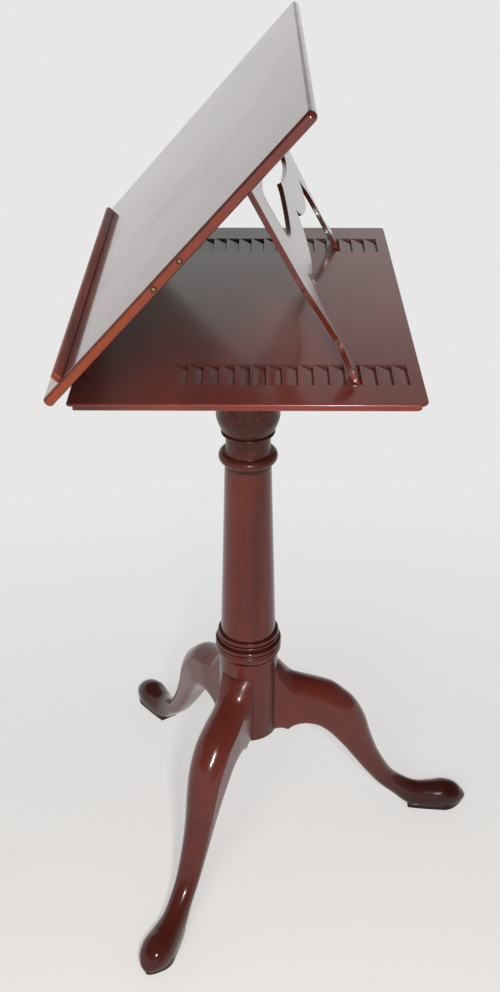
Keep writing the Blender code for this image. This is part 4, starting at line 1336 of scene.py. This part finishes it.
@dataclass
class BookSlope(Assembly):
    """The book board with its bullnosed edge, and the lip that holds the book."""

    depth: float = 0.3365
    length: float = 0.4866
    thickness: float = 0.0100
    corners: tuple[float, ...] = (0.0055, 0.0055, 0.0040, 0.0040)
    below_axis: float = 0.0086
    barrel: float = 0.0035
    bullnose: float = 0.0038
    ledge_setback: float = 0.0225
    ledge_thickness: float = 0.0062
    ledge_height: float = 0.0084
    ledge_front_margin: float = 0.0040
    ledge_back_margin: float = 0.0325
    ledge_round: float = 0.0024
    ledge_joint: float = 0.0014
    near_worn: Point2 = (0.95, 0.62)
    far_worn: float = 0.35
    top_worn: float = 0.40
    arris_mark: float = 0.75
    ledge_end_worn: float = 0.45
    ledge_crest_worn: float = 0.32
    ledge_easing: tuple[Point2, ...] = (
        (0.0, 0.0010), (0.0008, 0.0003), (0.0020, 0.0), (0.0090, 0.0), (0.0110, 0.0), (0.25, 0.0), (0.5, 0.0),
        (0.75, 0.0), (0.9980, 0.0), (0.9992, 0.0003), (1.0, 0.0010))
    ledge_end: float = 0.001
    ledge_seam: float = 0.0012
    wear_fade: float = 0.6
    arris_slope: Point2 = (0.45, 0.93)

    def board(self) -> Solid:
        """Draws the board in the slope's space.

        Returns:
            The board with its marks.
        """
        profile = [(self.bullnose * (1 - cos(a)), self.thickness * (1 + sin(a)) / 2)
                   for a in ((i / 20 - 0.5) * pi for i in range(21))]
        rings = [rounded_rectangle(self.depth / 2, self.length / 2, self.corners, inset, height)
                 for inset, height in profile]
        solid = Solid("book_board", loft("book_board", rings))
        solid.mesh.transform(Matrix.Translation((self.depth / 2 - self.below_axis, 0, self.barrel)))
        solid.smooth(0.7)

        def worn(at: Vector, middle: Vector, normal: Vector) -> float:
            """Marks the bullnose, most of all at the near side.

            Args:
                at: The corner's place.
                middle: The face's middle; not used.
                normal: The face's normal; not used.

            Returns:
                The mark.
            """
            near = 1 - min((at.y + self.length / 2) / self.bullnose, 1.0)
            far = 1 - min((self.length / 2 - at.y) / self.bullnose, 1.0)
            top = 1 - min((self.depth - self.below_axis - at.x) / self.bullnose, 1.0)
            most, fall = self.near_worn
            strength = most - fall * (at.x + self.below_axis) / self.depth
            return max(share * amount**self.wear_fade for share, amount in (
                (strength, near), (self.far_worn, far), (self.top_worn, top)))

        def hollow(at: Vector, middle: Vector, normal: Vector) -> float:
            """Paints shade along the arris of the face."""
            return self.arris_mark if self.arris_slope[0] < normal.z < self.arris_slope[1] else 0.0

        mark(solid.mesh, Mask.WORN, worn)
        mark(solid.mesh, Mask.HOLLOW, hollow)
        return solid

    def ledge(self) -> Solid:
        """Planes the lip, its upper edges rounded and its ends eased.

        Returns:
            The lip with its marks.
        """
        length = self.length - self.ledge_front_margin - self.ledge_back_margin
        joint, arc, rings = self.ledge_joint, self.ledge_round, []
        for share, drawn_in in self.ledge_easing:
            half, high = self.ledge_thickness / 2 - drawn_in, self.ledge_height - drawn_in
            ring = [Vector((x, 0, z)) for x, z in ((-half, joint), (-half, 0), (half, 0), (half, joint))]
            for side, first in ((1, 0.0), (-1, pi / 2)):
                for i in range(8):
                    angle = first + i / 7 * pi / 2
                    ring.append(Vector((side * (half - arc) + arc * cos(angle), 0,
                                        high - arc + arc * sin(angle))))
            rings.append([point + Vector((0, (share - 0.5) * length, 0)) for point in ring])
        solid = Solid("book_lip", loft("book_lip", rings))
        solid.mesh.transform(Matrix.Translation((
            self.ledge_setback + self.ledge_thickness / 2 - self.below_axis,
            (self.ledge_front_margin - self.ledge_back_margin) / 2, self.barrel + self.thickness + GAP)))
        solid.smooth(0.6)
        near = -self.length / 2 + self.ledge_front_margin
        crest = self.barrel + self.thickness + self.ledge_height

        def worn(at: Vector, middle: Vector, normal: Vector) -> float:
            """Marks the near end and the crest."""
            end = self.ledge_end_worn if middle.y < near + self.ledge_end else 0.0
            return max(end, self.ledge_crest_worn if at.z > crest - self.ledge_joint else 0.0)

        def hollow(at: Vector, middle: Vector, normal: Vector) -> float:
            """Paints shade into the joint with the board."""
            return 1 - (at.z - crest + self.ledge_height) / self.ledge_seam

        mark(solid.mesh, Mask.WORN, worn)
        mark(solid.mesh, Mask.HOLLOW, hollow)
        return solid

    def build(self) -> None:
        """Makes and dresses the board and its lip."""
        space = self.spaces.slope
        self.palette.piece(self.board(), space, Body.SLOPE, slope_polish(self.spaces), "slope_board")
        self.palette.piece(self.ledge(), space, Body.SLOPE, ledge_polish(self.spaces), "book_ledge")


@dataclass
class RatchetStrut(Assembly):
    """The fretted strut with its two bevelled feet."""

    length: float = 0.2095
    thickness: float = 0.0050
    pivot_run: float = 0.2405
    pivot_drop: float = 0.0020
    half_width: float = 0.1960
    hinge_setback: float = 0.0027
    top_rail: float = 0.0220
    opening_round: float = 0.0080
    edge_worn: float = 0.30
    tip_worn: float = 0.80
    tip_rub: float = 0.050
    sawn_mark: float = 0.55
    sawn_share: float = 0.93
    foot_bevel: float = pi / 4
    edge_round: float = 0.0007
    leg_inner: float = 0.1410
    rail_peak: float = 0.1470
    rail_upper: tuple[Point2, ...] = ((0.0, 1.0), (0.10, 0.965), (0.45, 0.915), (0.78, 0.895), (0.985, 0.935))
    rail_lower: tuple[Point2, ...] = (
        (0.0, 0.782), (0.13, 0.70), (0.40, 0.625), (0.66, 0.600), (0.88, 0.630), (1.012, 0.685))
    ankle_inner: tuple[Point2, ...] = (
        (0.1470, 0.0915), (0.1535, 0.0855), (0.1590, 0.0785), (0.1632, 0.0660), (0.1645, 0.0500),
        (0.1635, 0.0380), (0.1625, 0.0280), (0.1632, 0.0150), (0.1650, -0.0020))
    ankle_outer: tuple[Point2, ...] = (
        (0.1895, -0.0020), (0.1912, 0.0080), (0.1885, 0.0180), (0.1820, 0.0260), (0.1755, 0.0320),
        (0.1722, 0.0390), (0.1728, 0.0480), (0.1765, 0.0620), (0.1815, 0.0770), (0.1862, 0.0900),
        (0.1912, 0.1040), (0.1950, 0.1180), (0.1944, 0.1634), (0.1911, 0.2068))

    def outlines(self) -> tuple[list[Point2], list[Point2]]:
        """Draws the outer outline and the opening between the rails.

        Returns:
            Both outlines.
        """
        def up(height: float) -> float:
            """Turns a height above the feet into a distance from the pivot."""
            return self.length - height

        def both(half: list[Point2]) -> list[Point2]:
            """Adds the mirror image of half an outline."""
            return half + [(x, -y) for x, y in reversed(half) if y > 0]

        arch = [(up(h * self.rail_peak), y * self.leg_inner) for y, h in self.rail_lower]
        half = flat_curve(arch, 10)
        half += flat_curve([(up(h), y) for y, h in self.ankle_inner], 4)
        half += flat_curve([(up(h), y) for y, h in self.ankle_outer], 5)
        upper = [(up(h * self.rail_peak), y * self.leg_inner) for y, h in self.rail_upper]
        window = flat_curve(upper, 8)
        top = self.hinge_setback + self.top_rail
        for i in range(9):
            angle = i / 8 * pi / 2
            window.append((top + self.opening_round * (1 - sin(angle)),
                           self.leg_inner - self.opening_round * (1 - cos(angle))))
        return both(half), both(window)

    def build(self) -> None:
        """Frets, bevels and dresses the strut."""
        solid = Solid("fretted_strut", board_from_outlines("fretted_strut", self.outlines(), self.thickness))
        solid.mesh.transform(Matrix.Translation((0, 0, -self.thickness / 2)))
        size = self.thickness * 4
        work = bmesh.new()
        bmesh.ops.create_cube(work, size=1.0, matrix=Matrix.Diagonal((size, 2.1 * self.half_width, size, 1.0)))
        wedge = finished("foot_bevel", work)
        tip = (self.length + size / 2 * cos(self.foot_bevel), 0, -size / 2 * sin(self.foot_bevel))
        wedge.transform(Matrix.Translation(tip) @ Matrix.Rotation(self.foot_bevel, 4, "Y"))
        solid.combine(Solid("foot_bevel", wedge), "DIFFERENCE").soften(self.edge_round, 3, 0.9).smooth(0.5)

        def worn(at: Vector, middle: Vector, normal: Vector) -> float:
            """Marks the fretted edges, and the feet's tips most of all."""
            edge = self.edge_worn if abs(normal.z) < 0.8 else 0.0
            return max(edge, self.tip_worn - (self.length - at.x) / self.tip_rub)

        def hollow(at: Vector, middle: Vector, normal: Vector) -> float:
            """Paints shade onto the sawn edges above the feet."""
            return self.sawn_mark if abs(normal.z) < 0.5 and at.x < self.length * self.sawn_share else 0.0

        mark(solid.mesh, Mask.WORN, worn)
        mark(solid.mesh, Mask.HOLLOW, hollow)
        self.palette.piece(solid, self.spaces.strut, Body.STRUT, strut_polish(self.spaces), "strut")


@dataclass
class HingeScrews(Assembly):
    """Slotted countersunk screws in every hinge leaf."""

    slope_hinge_y: float = 0.1200
    slope_leaf_x: float = 0.0105
    slope_spread: float = 0.0125
    slope_plate_top: float = -0.0017
    slope_head: float = 0.0024
    strut_hinge_y: float = 0.1250
    strut_leaf_x: float = 0.0078
    strut_spread: float = 0.0095
    strut_plate_top: float = 0.0013
    strut_head: float = 0.0017
    stagger: float = 0.0022
    dome_share: float = 0.16
    slot_share: float = 0.20
    head_sides: int = 28
    slot_reach: float = 2.4
    slot_lift: float = 0.55
    turn_most: float = 3.1

    def tree(self, radius: float, material: bpy.types.Material, seed: int) -> Repeater:
        """Builds the tree that sets a slotted head on each point of a mesh.

        Args:
            radius: The heads' radius.
            material: Their material.
            seed: Seed of their turns.

        Returns:
            The tree with its inputs.
        """
        tree = Repeater("slotted_heads", {
            "Radius": radius, "Dome": radius * self.dome_share, "Slot": radius * self.slot_share, "Seed": seed,
            "Material": material})
        w, given = tree.wires, tree.given
        disc = w.node("GeometryNodeMeshCylinder", {"Vertices": self.head_sides, "Radius": given["Radius"],
                                                   "Depth": given["Dome"], "Side Segments": 1})
        size = w.point(w.product(given["Radius"], self.slot_reach), given["Slot"], given["Dome"])
        slot = w.node("GeometryNodeMeshCube", {"Size": size})
        lift = w.point(0.0, 0.0, w.product(given["Dome"], self.slot_lift))
        raised = w.node("GeometryNodeTransform", {"Geometry": slot.outputs[0], "Translation": lift})
        cut = w.node("GeometryNodeMeshBoolean", {0: disc.outputs[0], 1: raised.outputs[0]},
                     operation="DIFFERENCE", solver="EXACT")
        turn = w.node("FunctionNodeRandomValue", {
            "Min": (0.0, 0.0, 0.0), "Max": (0.0, 0.0, self.turn_most), "Seed": given["Seed"]},
                      data_type="FLOAT_VECTOR")
        points = w.node("GeometryNodeMeshToPoints", {"Mesh": given["Geometry"]})
        heads = w.node("GeometryNodeInstanceOnPoints", {"Points": points.outputs[0], "Instance": cut.outputs[0],
                                                        "Rotation": turn.outputs[0]})
        tree.finish(heads.outputs[0])
        return tree

    def heads(self, name: str, places: Sequence[Vector], radius: float, flip: bool, seed: int) -> Solid:
        """Sets heads on places, facing +Z or, flipped, -Z.

        Args:
            name: The piece's name.
            places: The heads' middles.
            radius: Their radius.
            flip: Whether they face down.
            seed: Seed of their turns.

        Returns:
            The heads as one solid.
        """
        mesh = bpy.data.meshes.new(name)
        mesh.from_pydata(places, [], [])
        solid = self.tree(radius, self.palette.material(OLD_BRASS), seed).apply(Solid(name, mesh))
        if flip:
            solid.mesh.transform(Matrix.Diagonal((1, 1, -1, 1)))
            solid.mesh.flip_normals()
        return solid

    def build(self) -> None:
        """Sets the screws of both pairs of hinges."""
        def rows(hinge_y: float, x: float, spread: float, z: float, steps: Sequence[int]) -> list[Vector]:
            """Lists the places of one leaf's screws, at both hinges."""
            return [Vector((x + (self.stagger if step == 0 else 0.0), side * hinge_y + step * spread, z))
                    for side in (-1, 1) for step in steps]

        axis = Matrix.Translation(self.spaces.slope.translation)
        pivot = Matrix.Translation(self.spaces.strut.translation) @ self.spaces.slope.to_3x3().to_4x4()
        slope = (self.slope_hinge_y, self.slope_leaf_x, self.slope_spread, self.slope_plate_top, (-1, 0, 1))
        strut = (self.strut_hinge_y, self.strut_leaf_x, self.strut_spread, self.strut_plate_top, (-1, 1))
        jobs = (
            ("bed_hinge_screws", slope, self.slope_head, False, axis, Body.STAND),
            ("slope_hinge_screws", slope, self.slope_head, True, self.spaces.slope, Body.SLOPE),
            ("cleat_hinge_screws", strut, self.strut_head, True, pivot, Body.SLOPE),
            ("strut_hinge_screws", strut, self.strut_head, False, self.spaces.strut, Body.STRUT),
        )
        for seed, (name, leaf, radius, flip, space, body) in enumerate(jobs):
            heads = self.heads(name, rows(*leaf), radius, flip, seed)
            self.palette.piece(heads, space, body, OLD_BRASS)


# Finishes of this table

# The bed's colour darkens towards the hinge side, painted shade under the slope, and is lighter away from it.
BED_POLISH = Wood("bed_polish", Slot.MAHOGANY, mid=(0.092, 0.0120, 0.0080), light=(0.145, 0.0260, 0.0140),
                  roughness=(0.18, 0.24), specular=0.33, coat=0.40, coat_roughness=0.12, relief=0.000003,
                  shift=(0.31, 0.12, 0.0), streak=0.45, worn=(0.20, 0.055, 0.028),
                  dark_end=(-0.18, 0.12, 0.72), light_end=(0.05, 0.02, 0.72), tone=(0.30, 1.70))
COLUMN_POLISH = Wood("column_polish", Slot.DARK_MAHOGANY, turn=(0.0, pi / 2, 0.0), shift=(0.0, 0.4, 0.7),
                     roughness=(0.20, 0.34), coat=0.5, coat_roughness=0.08, streak=0.6)
CLEAT_WAX = Wood("cleat_wax", Slot.MAHOGANY, roughness=(0.35, 0.5), coat=0.0, shift=(0.6, 0.2, 0.1))
RAW_BOARD = Wood("raw_board", Slot.RAW_MAHOGANY, deep=(0.10, 0.035, 0.018), mid=(0.19, 0.075, 0.038),
                 light=(0.29, 0.125, 0.065), turn=(0.0, 0.0, 0.0), roughness=(0.62, 0.8), coat=0.0,
                 relief=0.0002)
OLD_BRASS = Metal("old_brass", Slot.BRASS, (0.62, 0.42, 0.17), (0.17, 0.10, 0.045), (0.26, 0.5), 90.0)
DULL_IRON = Metal("dull_iron", Slot.IRON, (0.13, 0.12, 0.115), (0.05, 0.035, 0.028), (0.42, 0.7), 60.0)


def across(tilt: float) -> Colour:
    """Returns the turn that lays the grain along Y on a board tilted about Y by an angle."""
    turn = Matrix.Rotation(pi / 2, 3, "Z") @ Matrix.Rotation(tilt, 3, "Y")
    return tuple(turn.to_euler())


def leg_polish(name: str, azimuth: float, toe_shade: float) -> Wood:
    """Draws up a leg's polish, its grain running out along the leg.

    Args:
        name: The leg's name.
        azimuth: Its direction, in degrees.
        toe_shade: What its colour is multiplied by at the floor, a painted shade.

    Returns:
        The finish.
    """
    return Wood("leg_polish_" + name, Slot.DARK_MAHOGANY, turn=(0.0, radians(-50.0), -radians(azimuth)),
                shift=(azimuth / 100, 0.3, 0.2), mid=(0.094, 0.0138, 0.0108), light=(0.152, 0.0290, 0.0175),
                roughness=(0.17, 0.28), coat=0.5, coat_roughness=0.09,
                relief=0.00002, streak=0.6, light_end=(0.0, 0.0, 0.10), tone=(toe_shade, 1.06))


def slope_polish(spaces: Spaces) -> Wood:
    """Draws up the book board's polish, its grain along the hinge line.

    Args:
        spaces: The table's spaces.

    Returns:
        The finish.
    """
    boxes = (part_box("edge_pin_1"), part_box("edge_pin_2"))
    pins = tuple(((low.x + high.x) / 2, low.y, (low.z + high.z) / 2) for low, high in boxes)
    return Wood("slope_polish", Slot.MAHOGANY, turn=across(spaces.slope_angle),
                shift=(0.2, 0.9, 0.4), roughness=(0.20, 0.30), specular=0.22, coat=1.0, coat_ior=1.5,
                coat_roughness=0.07, relief=0.0, streak=0.5, mottle=0.8, worn=(0.125, 0.025, 0.0070),
                stains=pins, dark_end=(0.05, 0.0, 0.97), light_end=(-0.22, 0.0, 0.72), tone=(0.95, 1.5))


def ledge_polish(spaces: Spaces) -> Wood:
    """Draws up the lip's polish.

    Args:
        spaces: The table's spaces.

    Returns:
        The finish.
    """
    return Wood("lip_polish", Slot.DARK_MAHOGANY, turn=across(spaces.slope_angle), shift=(0.5, 0.1, 0.2),
                mid=(0.36, 0.0650, 0.0400), light=(0.46, 0.100, 0.055), roughness=(0.34, 0.46),
                specular=0.16, coat=0.08, mottle=0.8)


def strut_polish(spaces: Spaces) -> Wood:
    """Draws up the strut's polish, its grain across the rails.

    Args:
        spaces: The table's spaces.

    Returns:
        The finish.
    """
    return Wood("strut_polish", Slot.MAHOGANY, turn=across(-spaces.strut_angle), shift=(0.7, 0.5, 0.9),
                roughness=(0.18, 0.3), specular=0.4, coat=0.75, coat_ior=1.45, coat_roughness=0.08,
                streak=0.5, worn=(0.22, 0.045, 0.020))


# Studio


@dataclass
class Studio:
    """The pale floor, the lamps and the camera.

    Args:
        spaces: The table's spaces.
        eye: The camera's place in the stand's space.
        yaw: Turn to the left of +Y, in degrees.
        pitch: Fall below the horizon, in degrees.
        roll: Turn about its own axis, in degrees.
        focal_pixels: Focal length in pixels of a frame as high as frame_height.
        frame_height: Height of that frame.
        sensor: Height of its sensor, in millimetres.
        room_light: Strength of the room's own light.
        white: What shows behind the table.
        lamp_floor: Floor under the lamps, from which the floor fades to that white.
        floor_half: Half the floor's side.
        floor_colour: Its colour.
        floor_glow: What it gives off itself where it is seen.
        ceiling: Heights between which the mirrored room dims, and the levels there.
        right_wall: The same towards the right.
        overhead: Heights between which the room's light falls, and the share left overhead.
        aim: What the lamps face.
        floor_fade: Distances from the table between which the floor fades.
        lamp_fade: The same from lamp_floor.
        lamps: Each lamp's name, place, side, power and whether polish mirrors it.
    """

    spaces: Spaces
    eye: Colour = (0.0081, -1.1922, 1.2060)
    yaw: float = -0.29
    pitch: float = 31.13
    roll: float = 0.01
    focal_pixels: float = 1230.3
    frame_height: float = 992.0
    sensor: float = 36.0
    room_light: float = 0.44
    white: Colour = (0.80, 0.80, 0.795)
    lamp_floor: Colour = (0.0, -1.2, 0.0)
    floor_half: float = 14.0
    floor_colour: Colour = (0.84, 0.80, 0.765)
    floor_glow: float = 0.17
    ceiling: tuple[float, float, Point2] = (0.33, 0.54, (1.0, 0.13))
    right_wall: tuple[float, float, Point2] = (0.20, 0.60, (1.0, 0.25))
    overhead: tuple[float, float, float] = (0.30, 0.80, 0.40)
    aim: Colour = (-0.04, 0.0, 0.5)
    floor_fade: Point2 = (0.40, 1.0)
    lamp_fade: Point2 = (0.5, 2.2)
    lamps: tuple[tuple[str, Colour, float, float, bool], ...] = (
        ("small_lamp", (0.10, -1.24, 1.19), 0.10, 11.0, True),
        ("wide_lamp", (-0.7, -2.2, 1.75), 1.20, 24.0, False))

    def camera(self) -> None:
        """Sets the camera at the photograph's viewing angle."""
        data = bpy.data.cameras.new("photo_view")
        data.sensor_fit, data.sensor_height = "VERTICAL", self.sensor
        data.lens = self.focal_pixels * self.sensor / self.frame_height
        camera = linked("photo_view", data)
        turn = (Matrix.Rotation(-radians(self.yaw), 4, "Z")
                @ Matrix.Rotation(pi / 2 - radians(self.pitch), 4, "X")
                @ Matrix.Rotation(radians(self.roll), 4, "Z"))
        camera.matrix_world = self.spaces.stand @ Matrix.Translation(self.eye) @ turn
        bpy.context.scene.camera = camera

    def lamp(self, name: str, place: Colour, size: float, watts: float, mirrored: bool) -> None:
        """Hangs a square lamp.

        Args:
            name: Its name.
            place: Where it hangs.
            size: Its side.
            watts: Its power.
            mirrored: Whether polish mirrors it.
        """
        data = bpy.data.lights.new(name, "AREA")
        data.size, data.energy = size, watts
        lamp = linked(name, data)
        lamp.visible_glossy = mirrored
        facing = (Vector(self.aim) - Vector(place)).to_track_quat("-Z", "Y").to_matrix().to_4x4()
        lamp.matrix_world = Matrix.Translation(place) @ facing

    def world(self) -> None:
        """Lights the room evenly, shows white behind, and mirrors white walls under a dim ceiling."""
        world = bpy.data.worlds.new("pale_room")
        bpy.context.scene.world = world
        world.use_nodes = True
        w = Wiring(world.node_tree)
        path = w.node("ShaderNodeLightPath").outputs
        seen = w.math("MAXIMUM", w.math("MAXIMUM", path["Is Camera Ray"], path["Is Glossy Ray"]),
                      path["Is Transmission Ray"])
        towards = w.node("ShaderNodeTexCoord").outputs["Generated"]
        aside, _, rise = w.node("ShaderNodeSeparateXYZ", {0: towards}).outputs
        ceiling = w.product(w.span(rise, *self.ceiling), w.span(aside, *self.right_wall))
        low, high, left = self.overhead
        dim = w.span(rise, low, high, (self.room_light, self.room_light * left))
        level = w.math("MAXIMUM", ceiling, path["Is Camera Ray"])
        plain = w.node("ShaderNodeBackground", {"Color": (1.0, 1.0, 1.0, 1.0), "Strength": dim})
        shown = w.node("ShaderNodeBackground", {"Color": (*self.white, 1.0), "Strength": level})
        mixed = w.node("ShaderNodeMixShader", {0: seen, 1: plain.outputs[0], 2: shown.outputs[0]})
        w.fill(world.node_tree.nodes["World Output"], {0: mixed.outputs[0]})

    def floor(self) -> None:
        """Lays the pale floor, which fades to the backdrop's white and is clear from below."""
        mesh = bpy.data.meshes.new("pale_floor")
        half = self.floor_half
        corners = [(-half, -half, 0), (half, -half, 0), (half, half, 0), (-half, half, 0)]
        mesh.from_pydata(corners, [], [(0, 1, 2, 3)])
        floor = linked("pale_floor", mesh)
        made, w, shader = start_material("pale_floor")
        path = w.node("ShaderNodeLightPath").outputs
        seen = w.math("MAXIMUM", path["Is Camera Ray"], path["Is Glossy Ray"])
        w.fill(shader, {"Base Color": (*self.floor_colour, 1.0), "Roughness": 0.85, "Specular IOR Level": 0.1})
        place = w.place()
        fade = w.math("MAXIMUM", w.span(w.measure("LENGTH", place), *self.floor_fade),
                      w.span(w.measure("DISTANCE", place, self.lamp_floor), *self.lamp_fade))
        glow = w.node("ShaderNodeEmission", {"Color": (1.0, 1.0, 1.0, 1.0),
                                             "Strength": w.product(seen, self.floor_glow)})
        near = w.node("ShaderNodeAddShader", {0: shader.outputs[0], 1: glow.outputs[0]})
        wall = w.node("ShaderNodeEmission", {"Color": (*self.white, 1.0), "Strength": 1.0})
        lit = w.node("ShaderNodeMixShader", {0: w.product(seen, fade), 1: near.outputs[0], 2: wall.outputs[0]})
        clear = w.node("ShaderNodeBsdfTransparent")
        back = w.node("ShaderNodeNewGeometry").outputs["Backfacing"]
        final = w.node("ShaderNodeMixShader", {0: back, 1: lit.outputs[0], 2: clear.outputs[0]})
        w.fill(made.node_tree.nodes["Material Output"], {0: final.outputs[0]})
        mesh.materials.append(made)

    def build(self) -> None:
        """Sets the studio up."""
        bpy.context.scene.view_settings.view_transform = "Standard"
        self.camera()
        self.world()
        self.floor()
        for lamp in self.lamps:
            self.lamp(*lamp)


def main() -> None:
    """Builds the table in order, then the studio around it."""
    logging.basicConfig(level=logging.INFO, format="%(name)s: %(message)s")
    spaces = Spaces.read(RatchetStrut.length, RatchetStrut.pivot_run, RatchetStrut.pivot_drop)
    LOG.info("slope %.2f deg, strut %.2f deg", degrees(spaces.slope_angle), degrees(spaces.strut_angle))
    palette = Palette()
    for kind in (Bed, Column, Legs, BookSlope, RatchetStrut, HingeScrews):
        kind(palette, spaces).build()
    palette.redress(RAW_BOARD, "top_block", "bearer_front", "bearer_back")
    palette.redress(CLEAT_WAX, "strut_cleat")
    palette.redress(DULL_IRON, "spider_plate", "screw_front_left", "screw_front_right", "screw_back_left",
                    "screw_back_right")
    palette.redress(OLD_BRASS, "edge_pin_1", "edge_pin_2",
                    *(part + row for part in ("bed_leaf_", "hinge_pin_", "slope_leaf_", "cleat_leaf_",
                                              "strut_leaf_", "strut_pin_") for row in ("front", "back")))
    Studio(spaces).build()


if __name__ == "__main__":
    main()
